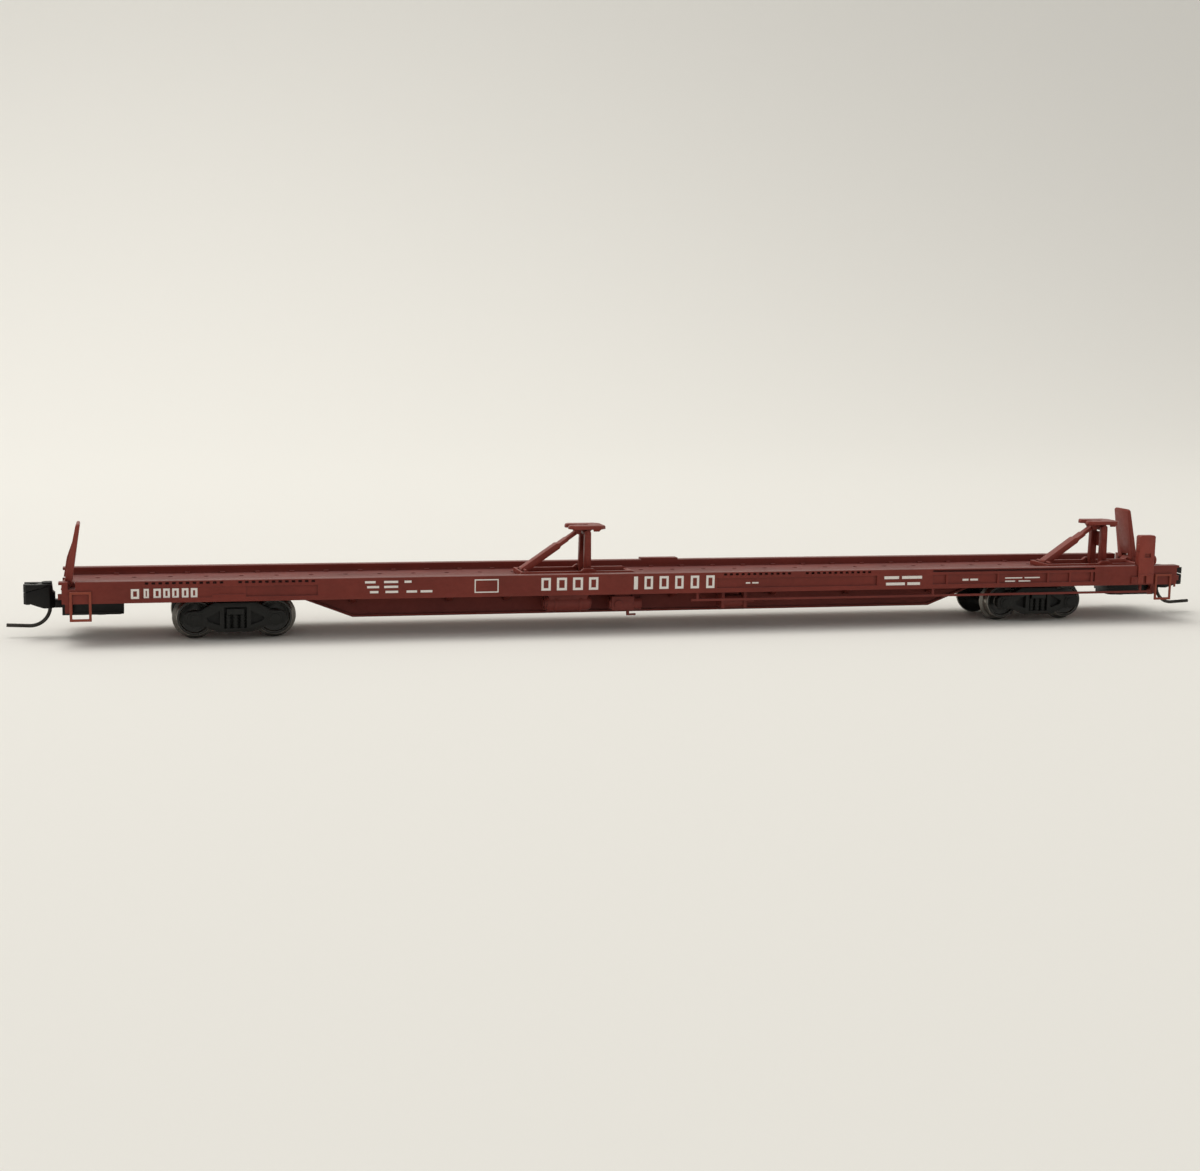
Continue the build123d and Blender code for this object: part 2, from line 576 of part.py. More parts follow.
def wheel_part(axle_x, side):
    """Flanged wheel turned from its half section."""
    hub_radius = 1.0
    rim_inner = 2.05
    dish = 0.45
    section = (
        (AXLE_RADIUS, WHEEL_INNER_Y),
        (FLANGE_RADIUS - 0.12, WHEEL_INNER_Y),
        (FLANGE_RADIUS, WHEEL_INNER_Y + 0.15),
        (FLANGE_RADIUS, WHEEL_INNER_Y + 0.28),
        (TREAD_RADIUS + 0.05, FLANGE_OUTER_Y),
        (TREAD_RADIUS - 0.05, WHEEL_OUTER_Y - 0.1),
        (TREAD_RADIUS - 0.15, WHEEL_OUTER_Y),
        (rim_inner + 0.1, WHEEL_OUTER_Y),
        (rim_inner, WHEEL_OUTER_Y - dish),
        (hub_radius + 0.15, WHEEL_OUTER_Y - dish),
        (hub_radius, WHEEL_OUTER_Y),
        (AXLE_RADIUS, WHEEL_OUTER_Y),
    )
    centre = Plane(origin=(axle_x, 0, AXLE_Z), x_dir=(1, 0, 0), z_dir=(0, 0, 1))
    with BuildPart() as wheel:
        with BuildSketch(centre):
            with BuildLine():
                Polyline(*[(radius, side * y) for radius, y in section], close=True)
            make_face()
        revolve(axis=Axis((axle_x, 0, AXLE_Z), (0, 1, 0)))
    return wheel


for end_name, turn in ENDS:
    write(truck_frame_part(), f"truck_frame_{end_name}", turn)
    for place, way in (("outer", 1), ("inner", -1)):
        axle_x = TRUCK_X + way * HALF_WHEELBASE
        write(axle_part(axle_x), f"axle_{end_name}_{place}", turn)
        for half, side in (("a", -1), ("b", 1)):
            write(wheel_part(axle_x, side), f"wheel_{end_name}_{place}_{half}", turn)

with BuildPart() as kingpins:
    for end in (-1, 1):
        rod_along_z(end * TRUCK_X, 0, (BOLSTER_SPAN_Z[0] - 0.05, 6.7), KINGPIN_RADIUS)
        rod_along_z(end * TRUCK_X, 0, (3.05, BOLSTER_SPAN_Z[0] - 0.05), KINGPIN_HEAD_RADIUS)
        slot_x = (end * TRUCK_X - 1.3, end * TRUCK_X + 1.3)
        block(slot_x, (-0.15, 0.15), (3.0, 3.25), Mode.SUBTRACT)
write(kingpins, "kingpins")

# ---- draft gear and couplers --------------------------------------------------------


def draft_box_part():
    """Box open below and in front, with the pivot post that the coupler turns on."""
    with BuildPart() as draft_box:
        block(BOX_SPAN_X, (-BOX_HALF_Y, BOX_HALF_Y), (LID_TOP, BOX_TOP))
        inner_x = (BOX_SPAN_X[0] + BOX_WALL, BOX_SPAN_X[1])
        inner_y = (-BOX_HALF_Y + BOX_WALL, BOX_HALF_Y - BOX_WALL)
        block(inner_x, inner_y, (LID_TOP, BOX_TOP - BOX_WALL), Mode.SUBTRACT)
        rod_along_z(PIVOT_X, 0, (LID_TOP, BOX_TOP - BOX_WALL), PIVOT_POST_RADIUS)
        rod_along_z(PIVOT_X, 0, (LID_TOP, BOX_TOP), SCREW_RADIUS, Mode.SUBTRACT)
    return draft_box


def draft_lid_part():
    """Plate that closes the box from below, with bevelled rear corners."""
    with BuildPart() as draft_lid:
        bevel = 0.5
        outline = (
            (BOX_SPAN_X[0] + bevel, -BOX_HALF_Y),
            (BOX_SPAN_X[1], -BOX_HALF_Y),
            (BOX_SPAN_X[1], BOX_HALF_Y),
            (BOX_SPAN_X[0] + bevel, BOX_HALF_Y),
            (BOX_SPAN_X[0], BOX_HALF_Y - bevel),
            (BOX_SPAN_X[0], -BOX_HALF_Y + bevel),
        )
        plan_shape(outline, (BOX_BOTTOM, LID_TOP))
        rod_along_z(PIVOT_X, 0, (BOX_BOTTOM, LID_TOP), SCREW_RADIUS, Mode.SUBTRACT)
    return draft_lid


def coupler_spring_part():
    """Bent leaf that centres the coupler's tail."""
    back = BOX_SPAN_X[0] + BOX_WALL
    leaf = 0.12
    arm_y = 1.15
    with BuildPart() as spring:
        outline = (
            (back, -arm_y),
            (back + 1.3, -arm_y + 0.1),
            (back + 1.3, -arm_y + 0.1 + leaf),
            (back + leaf, -arm_y + leaf),
            (back + leaf, arm_y - leaf),
            (back + 1.3, arm_y - 0.1 - leaf),
            (back + 1.3, arm_y - 0.1),
            (back, arm_y),
        )
        plan_shape(outline, (4.4, 5.1))
    return spring


HEAD_PLAN = (
    (HEAD_REAR_X, -SHANK_HALF_Y),
    (86.9, -1.35),
    (88.6, -1.75),
    (90.2, -1.75),
    (HEAD_TIP_X, -1.55),
    (90.1, -1.15),
    (88.9, -0.75),
    (88.5, -0.3),
    (88.5, 0.35),
    (88.9, 0.6),
    (89.5, 0.5),
    (89.6, 0.05),
    (90.0, -0.15),
    (HEAD_TIP_X, 0.15),
    (HEAD_TIP_X, 1.0),
    (90.0, 1.45),
    (88.6, 1.6),
    (86.9, 1.35),
    (HEAD_REAR_X, SHANK_HALF_Y),
)
PART_LINE_FRONT_Z = 6.45                # the two halves of the head meet on this slope
PART_LINE_REAR_Z = 7.2
PART_LINE_REAR_X = 87.7
HEAD_BACK_TOP = 7.1


def part_line(x, drop):
    """Height of the sloping joint between the two halves of the head."""
    slope = (PART_LINE_REAR_Z - PART_LINE_FRONT_Z) / (PART_LINE_REAR_X - HEAD_TIP_X)
    return PART_LINE_FRONT_Z + slope * (x - HEAD_TIP_X) - drop


def coupler_shank_part():
    """Shank, eye and lower half of the head, with the pin that the knuckle turns on."""
    with BuildPart() as shank:
        plan_shape(HEAD_PLAN, (SHANK_SPAN_Z[0], HEAD_TOP))
        above = (
            (HEAD_REAR_X - 0.1, HEAD_BACK_TOP - 0.9),
            (86.5, HEAD_BACK_TOP - 0.6),
            (86.6, part_line(86.6, KNUCKLE_GAP)),
            (HEAD_TIP_X + 0.1, part_line(HEAD_TIP_X + 0.1, KNUCKLE_GAP)),
            (HEAD_TIP_X + 0.1, EAR_TOP + 0.1),
            (HEAD_REAR_X - 0.1, EAR_TOP + 0.1),
        )
        side_shape(above, (-2.0, 2.0), Mode.SUBTRACT)
        below = (
            (87.4, SHANK_SPAN_Z[0] - 0.1),
            (89.5, HEAD_FRONT_BOTTOM + 0.05),
            (89.6, HEAD_FRONT_BOTTOM - 0.05),
            (HEAD_TIP_X + 0.1, HEAD_FRONT_BOTTOM),
            (HEAD_TIP_X + 0.1, SHANK_SPAN_Z[0] - 0.1),
        )
        side_shape(below, (-2.0, 2.0), Mode.SUBTRACT)
        block((PIVOT_X, HEAD_REAR_X + 0.2), (-SHANK_HALF_Y, SHANK_HALF_Y), SHANK_SPAN_Z)
        rod_along_z(PIVOT_X, 0, SHANK_SPAN_Z, SHANK_EYE_RADIUS)
        block((PIVOT_X - 1.9, PIVOT_X), (-0.4, 0.4), SHANK_SPAN_Z)
        post_z = (SHANK_SPAN_Z[0], SHANK_SPAN_Z[1])
        rod_along_z(PIVOT_X, 0, post_z, PIVOT_POST_RADIUS + RUNNING_CLEARANCE, Mode.SUBTRACT)
        rod_along_z(KNUCKLE_PIVOT_X, 0, (SHANK_SPAN_Z[1], EAR_TOP), KNUCKLE_PIN_RADIUS)
        socket_z = (SHANK_SPAN_Z[0] - 0.1, TRIP_PIN_ROUTE[0][1])
        rod_along_z(TRIP_PIN_ROUTE[0][0], 0, socket_z, TRIP_PIN_RADIUS, Mode.SUBTRACT)
    return shank


def coupler_knuckle_part():
    """Upper half of the head, which swings on the pin of the lower half."""
    with BuildPart() as knuckle:
        plan_shape(HEAD_PLAN, (SHANK_SPAN_Z[0], HEAD_TOP))
        below = (
            (HEAD_REAR_X - 0.1, SHANK_SPAN_Z[0] - 0.1),
            (HEAD_TIP_X + 0.1, SHANK_SPAN_Z[0] - 0.1),
            (HEAD_TIP_X + 0.1, part_line(HEAD_TIP_X + 0.1, 0)),
            (86.6, part_line(86.6, 0)),
            (86.6, EAR_TOP),
            (HEAD_REAR_X - 0.1, EAR_TOP),
        )
        side_shape(below, (-2.0, 2.0), Mode.SUBTRACT)
        bore = KNUCKLE_PIN_RADIUS + RUNNING_CLEARANCE
        rod_along_z(KNUCKLE_PIVOT_X, 0, (SHANK_SPAN_Z[0], EAR_TOP), 0.85)
        rod_along_z(KNUCKLE_PIVOT_X, 0, (SHANK_SPAN_Z[0], EAR_TOP), bore, Mode.SUBTRACT)
        side_shape(below, (-2.0, 2.0), Mode.SUBTRACT)
    return knuckle


def trip_pin_part():
    """Bent steel wire that hangs from the head and sweeps forward over the rails."""
    with BuildPart() as trip_pin:
        with BuildLine() as route:
            corners = [(x, 0, z) for x, z in TRIP_PIN_ROUTE]
            FilletPolyline(*corners, radius=TRIP_PIN_BEND)
        with BuildSketch(Plane(origin=route.line @ 0, z_dir=route.line % 0)):
            Circle(TRIP_PIN_RADIUS)
        sweep()
    return trip_pin


for end_name, turn in ENDS:
    write(draft_box_part(), f"draft_box_{end_name}", turn)
    write(draft_lid_part(), f"draft_lid_{end_name}", turn)
    write(coupler_spring_part(), f"coupler_spring_{end_name}", turn)
    write(coupler_shank_part(), f"coupler_shank_{end_name}", turn)
    write(coupler_knuckle_part(), f"coupler_knuckle_{end_name}", turn)
    write(trip_pin_part(), f"trip_pin_{end_name}", turn)

with BuildPart() as draft_screws:
    for end in (-1, 1):
        rod_along_z(end * PIVOT_X, 0, (BOX_BOTTOM, 6.6), SCREW_RADIUS)
        rod_along_z(end * PIVOT_X, 0, (BOX_BOTTOM - 0.3, BOX_BOTTOM), SCREW_HEAD_RADIUS)
        slot_x = (end * PIVOT_X - 0.9, end * PIVOT_X + 0.9)
        block(slot_x, (-0.12, 0.12), (BOX_BOTTOM - 0.35, BOX_BOTTOM - 0.15), Mode.SUBTRACT)
write(draft_screws, "draft_screws")

# ---- bridge plates ------------------------------------------------------------------


def bridge_plate_part():
    """Steel plate hinged at deck level, stored upright and leaning slightly inwards."""
    lean = (BRIDGE_PIVOT_X - BRIDGE_TOP_X) / (BRIDGE_TOP_Z - BRIDGE_PIVOT_Z)
    with BuildPart() as plate:
        outline = (
            (BRIDGE_PIVOT_X - 0.5, BRIDGE_PIVOT_Z),
            (BRIDGE_PIVOT_X + 0.5, BRIDGE_PIVOT_Z),
            (BRIDGE_PIVOT_X + 0.45 - 1.5 * lean, BRIDGE_PIVOT_Z + 1.5),
            (BRIDGE_TOP_X + 0.27, BRIDGE_TOP_Z - 0.3),
            (BRIDGE_TOP_X + 0.15, BRIDGE_TOP_Z),
            (BRIDGE_TOP_X - 0.2, BRIDGE_TOP_Z),
            (BRIDGE_TOP_X - 0.27, BRIDGE_TOP_Z - 0.3),
        )
        side_shape(outline, BRIDGE_SPAN_Y)
        # Rounded top corners.
        top_edges = plate.edges().filter_by(Axis.X).group_by(Axis.Z)[-1]
        fillet(top_edges, radius=0.5)
        rod_along_y(BRIDGE_PIVOT_X, BRIDGE_PIVOT_Z, BRIDGE_SPAN_Y, BRIDGE_EYE_RADIUS)
        # Stiffening rib on the outer face, which tapers away towards the top.
        rib_low, rib_high = BRIDGE_RIB_SPAN_Z
        low_x = BRIDGE_PIVOT_X + BRIDGE_FACE_DX - (rib_low - BRIDGE_PIVOT_Z) * lean
        shoulder_x = BRIDGE_PIVOT_X + BRIDGE_FACE_DX - (BRIDGE_RIB_SHOULDER_Z - BRIDGE_PIVOT_Z) * lean
        high_x = BRIDGE_PIVOT_X + BRIDGE_FACE_DX - (rib_high - BRIDGE_PIVOT_Z) * lean
        rib = (
            (low_x - BRIDGE_FACE_DX, rib_low),
            (low_x + BRIDGE_RIB_PROUD, rib_low),
            (shoulder_x + BRIDGE_RIB_PROUD, BRIDGE_RIB_SHOULDER_Z),
            (high_x - BRIDGE_FACE_DX / 2, rib_high),
            (high_x - BRIDGE_FACE_DX, rib_high),
        )
        side_shape(rib, (BRIDGE_SPAN_Y[0] + BRIDGE_RIB_INSET_Y, BRIDGE_SPAN_Y[1] - BRIDGE_RIB_INSET_Y))
        # Clear the middle of the eye for the bracket on the deck.
        gap_y = (BRIDGE_SPAN_Y[0] + 1.2, BRIDGE_SPAN_Y[1] - 1.2)
        gap_x = (BRIDGE_PIVOT_X - 0.7, BRIDGE_PIVOT_X + 0.7)
        block(gap_x, gap_y, (BRIDGE_PIVOT_Z - 0.7, BRIDGE_PIVOT_Z + 0.7), Mode.SUBTRACT)
        bore = BRIDGE_PIN_RADIUS + JOURNAL_CLEARANCE
        rod_along_y(BRIDGE_PIVOT_X, BRIDGE_PIVOT_Z, BRIDGE_SPAN_Y, bore, Mode.SUBTRACT)
    return plate


for end_name, turn in ENDS:
    write(bridge_plate_part(), f"bridge_plate_{end_name}", turn)

with BuildPart() as bridge_brackets:
    for end in (-1, 1):
        bracket_y = sorted((end * (BRIDGE_SPAN_Y[0] + 1.25), end * (BRIDGE_SPAN_Y[1] - 1.25)))
        outline = (
            (end * (BRIDGE_PIVOT_X - 1.3), DECK_TOP),
            (end * (BRIDGE_PIVOT_X - 0.2), DECK_TOP),
            (end * (BRIDGE_PIVOT_X + 0.42), BRIDGE_PIVOT_Z),
            (end * (BRIDGE_PIVOT_X + 0.2), BRIDGE_PIVOT_Z + 0.42),
            (end * (BRIDGE_PIVOT_X - 0.3), BRIDGE_PIVOT_Z + 0.42),
        )
        side_shape(outline, bracket_y)
        pivot_x = end * BRIDGE_PIVOT_X
        rod_along_y(pivot_x, BRIDGE_PIVOT_Z, bracket_y, BRIDGE_PIN_RADIUS, Mode.SUBTRACT)
write(bridge_brackets, "bridge_brackets")

with BuildPart() as bridge_pins:
    for end in (-1, 1):
        pin_y = sorted((end * BRIDGE_SPAN_Y[0], end * BRIDGE_SPAN_Y[1]))
        rod_along_y(end * BRIDGE_PIVOT_X, BRIDGE_PIVOT_Z, pin_y, BRIDGE_PIN_RADIUS)
write(bridge_pins, "bridge_pins")

# ---- trailer hitches ----------------------------------------------------------------


def hitch_track_part(x):
    """Frame on the deck that carries the post's pin and guides the strut's foot."""
    start = x + TRACK_SPAN_DX[0]
    finish = x + TRACK_SPAN_DX[1]
    with BuildPart() as track:
        for side in (-1, 1):
            rail_y = sorted((side * TRACK_INNER_Y, side * TRACK_OUTER_Y))
            rail = (
                (start, DECK_TOP),
                (finish, DECK_TOP),
                (finish, TRACK_STOP_TOP),
                (finish - TRACK_STOP_LENGTH, TRACK_TOP),
                (x + TRACK_EAR_BASE, TRACK_TOP),
                (x + TRACK_EAR_CREST, HITCH_PIVOT_Z + TRACK_EAR_RISE),
                (x - TRACK_EAR_CREST, HITCH_PIVOT_Z + TRACK_EAR_RISE),
                (x - TRACK_EAR_BASE, TRACK_TOP),
                (start, TRACK_TOP),
            )
            side_shape(rail, rail_y)
            rod_along_y(x, HITCH_PIVOT_Z, rail_y, HITCH_PIN_RADIUS, Mode.SUBTRACT)
        across = (-TRACK_OUTER_Y, TRACK_OUTER_Y)
        block((finish - TRACK_STOP_LENGTH, finish), across, (DECK_TOP, TRACK_STOP_TOP))
        block((start, start + TRACK_TIE_LENGTH), across, (DECK_TOP, TRACK_TOP))
    return track


def hitch_post_part(x):
    """Two tapered legs joined by a web, with ears for the head pin."""
    with BuildPart() as post:
        leg = (
            (x - POST_HALF_X, HITCH_PIVOT_Z),
            (x + POST_HALF_X, HITCH_PIVOT_Z),
            (x + POST_TOP_HALF_X, HEAD_PIN_Z),
            (x - POST_TOP_HALF_X, HEAD_PIN_Z),
        )
        for side in (-1, 1):
            leg_y = sorted((side * LEG_INNER_Y, side * LEG_OUTER_Y))
            side_shape(leg, leg_y)
            rod_along_y(x, HITCH_PIVOT_Z, leg_y, POST_HALF_X - 0.03)
            rod_along_y(x, HEAD_PIN_Z, leg_y, POST_TOP_HALF_X)
            rod_along_y(x, HITCH_PIVOT_Z, leg_y, HITCH_PIN_RADIUS + JOURNAL_CLEARANCE, Mode.SUBTRACT)
            rod_along_y(x, HEAD_PIN_Z, leg_y, HITCH_PIN_RADIUS, Mode.SUBTRACT)
        web_x = (x + WEB_SPAN_X[0], x + WEB_SPAN_X[1])
        web_y = (-LEG_INNER_Y - 0.2, LEG_INNER_Y + 0.2)
        block(web_x, web_y, WEB_SPAN_Z)
        # Raised rib and side gussets on the legs.
        for side in (-1, 1):
            gusset_y = sorted((side * LEG_OUTER_Y, side * (LEG_OUTER_Y + GUSSET_PROUD)))
            for half_x, low, high in (LOW_GUSSET, HIGH_GUSSET):
                block((x - half_x, x + half_x), gusset_y, (low, high))
    return post


def hitch_head_part(x):
    """Fifth-wheel plate with its kingpin bore, throat, neck and strut lugs."""
    with BuildPart() as head:
        outline = (
            (x - PLATE_HALF_X, -PLATE_FRONT_HALF_Y),
            (x - PLATE_HALF_X + PLATE_FRONT_TAPER, -PLATE_HALF_Y),
            (x + PLATE_HALF_X - PLATE_BACK_TAPER, -PLATE_HALF_Y),
            (x + PLATE_HALF_X, -PLATE_BACK_HALF_Y),
            (x + PLATE_HALF_X, PLATE_BACK_HALF_Y),
            (x + PLATE_HALF_X - PLATE_BACK_TAPER, PLATE_HALF_Y),
            (x - PLATE_HALF_X + PLATE_FRONT_TAPER, PLATE_HALF_Y),
            (x - PLATE_HALF_X, PLATE_FRONT_HALF_Y),
        )
        plan_shape(outline, (PLATE_BOTTOM, PLATE_TOP))
        chamfer(head.edges().filter_by(Axis.Y).group_by(Axis.Z)[-1], length=PLATE_CHAMFER)
        # Neck between the post's ears.
        neck_y = (-LEG_INNER_Y + RUNNING_CLEARANCE, LEG_INNER_Y - RUNNING_CLEARANCE)
        neck = (
            (x - NECK_HALF_X, HEAD_PIN_Z),
            (x + NECK_HALF_X, HEAD_PIN_Z),
            (x + NECK_TOP_HALF_X, PLATE_BOTTOM),
            (x - NECK_TOP_HALF_X, PLATE_BOTTOM),
        )
        side_shape(neck, neck_y)
        rod_along_y(x, HEAD_PIN_Z, neck_y, EYE_RADIUS)
        # Kingpin bore from the top, then the throat that opens towards the trailer.
        rod_along_z(x, 0, (PLATE_BOTTOM, PLATE_TOP), KINGPIN_BORE_RADIUS, Mode.SUBTRACT)
        throat = (
            (x - KINGPIN_BORE_RADIUS / 2, -THROAT_HALF_Y),
            (x - KINGPIN_BORE_RADIUS / 2, THROAT_HALF_Y),
            (x - THROAT_FLARE_DX, THROAT_HALF_Y),
            (x - PLATE_HALF_X, THROAT_MOUTH_HALF_Y),
            (x - PLATE_HALF_X, -THROAT_MOUTH_HALF_Y),
            (x - THROAT_FLARE_DX, -THROAT_HALF_Y),
        )
        plan_shape(throat, (PLATE_BOTTOM, PLATE_TOP), Mode.SUBTRACT)
        # Lugs for the strut pin.
        pin_x = x + STRUT_PIN_DX
        for side in (-1, 1):
            lug_y = sorted((side * LUG_INNER_Y, side * LUG_OUTER_Y))
            lug = (
                (pin_x - LUG_RADIUS, STRUT_PIN_Z),
                (pin_x + LUG_RADIUS, STRUT_PIN_Z),
                (pin_x + 0.5, PLATE_BOTTOM),
                (pin_x - 0.8, PLATE_BOTTOM),
            )
            side_shape(lug, lug_y)
            rod_along_y(pin_x, STRUT_PIN_Z, lug_y, LUG_RADIUS)
        rod_along_y(x, HEAD_PIN_Z, neck_y, HITCH_PIN_RADIUS + JOURNAL_CLEARANCE, Mode.SUBTRACT)
        pin_y = (-STRUT_PIN_HALF_Y, STRUT_PIN_HALF_Y)
        rod_along_y(pin_x, STRUT_PIN_Z, pin_y, STRUT_PIN_RADIUS, Mode.SUBTRACT)
        # Side skirts under the plate's right half.
        for side in (-1, 1):
            skirt_y = sorted((side * SKIRT_INNER_Y, side * SKIRT_OUTER_Y))
            skirt = (
                (x + 0.7, PLATE_BOTTOM),
                (x + 1.9, PLATE_BOTTOM),
                (x + 1.6, PLATE_BOTTOM - SKIRT_DROP),
                (x + 0.8, PLATE_BOTTOM - SKIRT_DROP),
            )
            side_shape(skirt, skirt_y)
    return head


def hitch_strut_part(x):
    """Diagonal strut: thin upper half, thick lower half and a sliding foot."""
    top = (x + STRUT_PIN_DX, STRUT_PIN_Z)
    foot = (x + STRUT_FOOT_DX, STRUT_FOOT_Z)
    length = math.hypot(top[0] - foot[0], top[1] - foot[1])
    up_the_strut = ((top[0] - foot[0]) / length, 0, (top[1] - foot[1]) / length)
    along = Plane(origin=(foot[0], 0, foot[1]), x_dir=up_the_strut, z_dir=(0, -1, 0))
    step_low = length * STRUT_STEP_AT[0]
    step_high = length * STRUT_STEP_AT[1]
    with BuildPart() as strut:
        with BuildSketch(along) as side_view:
            with BuildLine():
                Polyline(
                    (0, -STRUT_THICK),
                    (step_low, -STRUT_THICK),
                    (step_high, -STRUT_THIN),
                    (length, -STRUT_THIN),
                    (length, STRUT_THIN),
                    (step_high, STRUT_THIN),
                    (step_low, STRUT_THICK),
                    (0, STRUT_THICK),
                    close=True,
                )
            make_face()
        extrude(side_view.sketch, amount=STRUT_HALF_Y, both=True)
        # The upper end is narrower, to pass between the head's lugs.
        for side in (-1, 1):
            cut_y = sorted((side * STRUT_TONGUE_HALF_Y, side * (STRUT_HALF_Y + 0.1)))
            cheek_plane = Plane(origin=(foot[0], cut_y[1], foot[1]), x_dir=up_the_strut, z_dir=(0, -1, 0))
            with BuildSketch(cheek_plane) as cheek:
                with Locations((length * 0.92, 0)):
                    Rectangle(length * 0.24, 1.4)
            extrude(cheek.sketch, amount=cut_y[1] - cut_y[0], mode=Mode.SUBTRACT)
        tongue_y = (-STRUT_TONGUE_HALF_Y, STRUT_TONGUE_HALF_Y)
        rod_along_y(top[0], top[1], tongue_y, STRUT_EYE_RADIUS)
        rod_along_y(foot[0], foot[1], (-STRUT_HALF_Y, STRUT_HALF_Y), STRUT_THICK)
        rod_along_y(top[0], top[1], tongue_y, STRUT_PIN_RADIUS + JOURNAL_CLEARANCE, Mode.SUBTRACT)
        rod_along_y(foot[0], foot[1], (-FOOT_BAR_HALF_Y, FOOT_BAR_HALF_Y), FOOT_BAR_RADIUS)
    return strut


for hitch_name, hitch_x in HITCH_X.items():
    write(hitch_track_part(hitch_x), f"hitch_track_{hitch_name}")
    write(hitch_post_part(hitch_x), f"hitch_post_{hitch_name}")
    write(hitch_head_part(hitch_x), f"hitch_head_{hitch_name}")
    write(hitch_strut_part(hitch_x), f"hitch_strut_{hitch_name}")
    with BuildPart() as head_pin:
        rod_along_y(hitch_x, HEAD_PIN_Z, (-LEG_OUTER_Y - 0.1, LEG_OUTER_Y + 0.1), HITCH_PIN_RADIUS)
    write(head_pin, f"hitch_head_pin_{hitch_name}")
    with BuildPart() as strut_pin:
        pin_y = (-STRUT_PIN_HALF_Y, STRUT_PIN_HALF_Y)
        rod_along_y(hitch_x + STRUT_PIN_DX, STRUT_PIN_Z, pin_y, STRUT_PIN_RADIUS)
    write(strut_pin, f"hitch_strut_pin_{hitch_name}")

with BuildPart() as hitch_base_pins:
    for hitch_x in HITCH_X.values():
        for side in (-1, 1):
            stub_y = sorted((side * (LEG_INNER_Y - 0.05), side * TRACK_OUTER_Y))
            rod_along_y(hitch_x, HITCH_PIVOT_Z, stub_y, HITCH_PIN_RADIUS)
write(hitch_base_pins, "hitch_base_pins")

# ---- underbody brake gear -----------------------------------------------------------

with BuildPart() as air_reservoir:
    shell_x = (TANK_SPAN_X[0] + TANK_DOME_LENGTH, TANK_SPAN_X[1] - TANK_DOME_LENGTH)
    rod_along_x(TANK_Y, TANK_Z, shell_x, TANK_RADIUS)
    for shell_end, way in ((shell_x[0], -1), (shell_x[1], 1)):
        dome_x = sorted((shell_end, shell_end + way * 0.6 * TANK_DOME_LENGTH))
        rod_along_x(TANK_Y, TANK_Z, dome_x, TANK_RADIUS - 0.2)
        tip_x = sorted((shell_end, shell_end + way * TANK_DOME_LENGTH))
        rod_along_x(TANK_Y, TANK_Z, tip_x, TANK_RADIUS - 0.6)
    for band_x in (TANK_SPAN_X[0] + TANK_BAND_DX, TANK_SPAN_X[1] - TANK_BAND_DX):
        band_span = (band_x - TANK_BAND_HALF_X, band_x + TANK_BAND_HALF_X)
        rod_along_x(TANK_Y, TANK_Z, band_span, TANK_RADIUS + 0.1)
    saddle = (
        (TANK_SPAN_X[0] + 0.9, TANK_Z + SADDLE_RISE),
        (TANK_SPAN_X[1] - 0.9, TANK_Z + SADDLE_RISE),
        (TANK_SPAN_X[1] - 0.1, DECK_BOTTOM),
        (TANK_SPAN_X[0] + 0.1, DECK_BOTTOM),
    )
    side_shape(saddle, (TANK_Y - SADDLE_HALF_Y, TANK_Y + SADDLE_HALF_Y))
write(air_reservoir, "air_reservoir")

with BuildPart() as control_valve:
    block(VALVE_SPAN_X, (TANK_Y - VALVE_HALF_Y, TANK_Y + VALVE_HALF_Y), VALVE_SPAN_Z)
    stalk_x = (VALVE_SPAN_X[0] + 0.5, VALVE_SPAN_X[1] - 0.5)
    stalk_y = (TANK_Y - VALVE_STALK_HALF_Y, TANK_Y + VALVE_STALK_HALF_Y)
    block(stalk_x, stalk_y, (VALVE_Z, DECK_BOTTOM))
    rod_along_x(TANK_Y, VALVE_Z, (VALVE_SPAN_X[1], VALVE_SPAN_X[1] + 1.2), VALVE_BARREL_RADIUS)
    rod_along_x(TANK_Y, VALVE_Z, (VALVE_SPAN_X[0] - 0.3, VALVE_SPAN_X[0]), VALVE_CAP_RADIUS)
    rod_along_y(VALVE_SPAN_X[0] + 1.0, VALVE_Z, (TANK_Y - 1.15, TANK_Y), VALVE_BOSS_RADIUS)
    # Drain cock and its handle below the valve.
    drain_y = (TANK_Y - 0.5, TANK_Y - 0.15)
    block(DRAIN_SPAN_X, drain_y, DRAIN_SPAN_Z)
    block(DRAIN_HANDLE_SPAN_X, drain_y, DRAIN_HANDLE_SPAN_Z)
write(control_valve, "control_valve")

with BuildPart() as brake_cylinder:
    barrel_x = (CYLINDER_SPAN_X[0] + CYLINDER_BRACKET, CYLINDER_SPAN_X[1] - CYLINDER_BRACKET)
    rod_along_x(TANK_Y, CYLINDER_Z, barrel_x, CYLINDER_RADIUS)
    bracket_y = (TANK_Y - CYLINDER_BRACKET_HALF_Y, TANK_Y + CYLINDER_BRACKET_HALF_Y)
    for bracket_x in (CYLINDER_SPAN_X[0], CYLINDER_SPAN_X[1] - CYLINDER_BRACKET):
        bracket_z = (CYLINDER_BRACKET_BOTTOM, DECK_BOTTOM)
        block((bracket_x, bracket_x + CYLINDER_BRACKET), bracket_y, bracket_z)
    push_rod_x = (CYLINDER_SPAN_X[1], CYLINDER_SPAN_X[1] + PUSH_ROD_LENGTH)
    rod_along_x(TANK_Y, CYLINDER_Z, push_rod_x, PUSH_ROD_RADIUS)
write(brake_cylinder, "brake_cylinder")

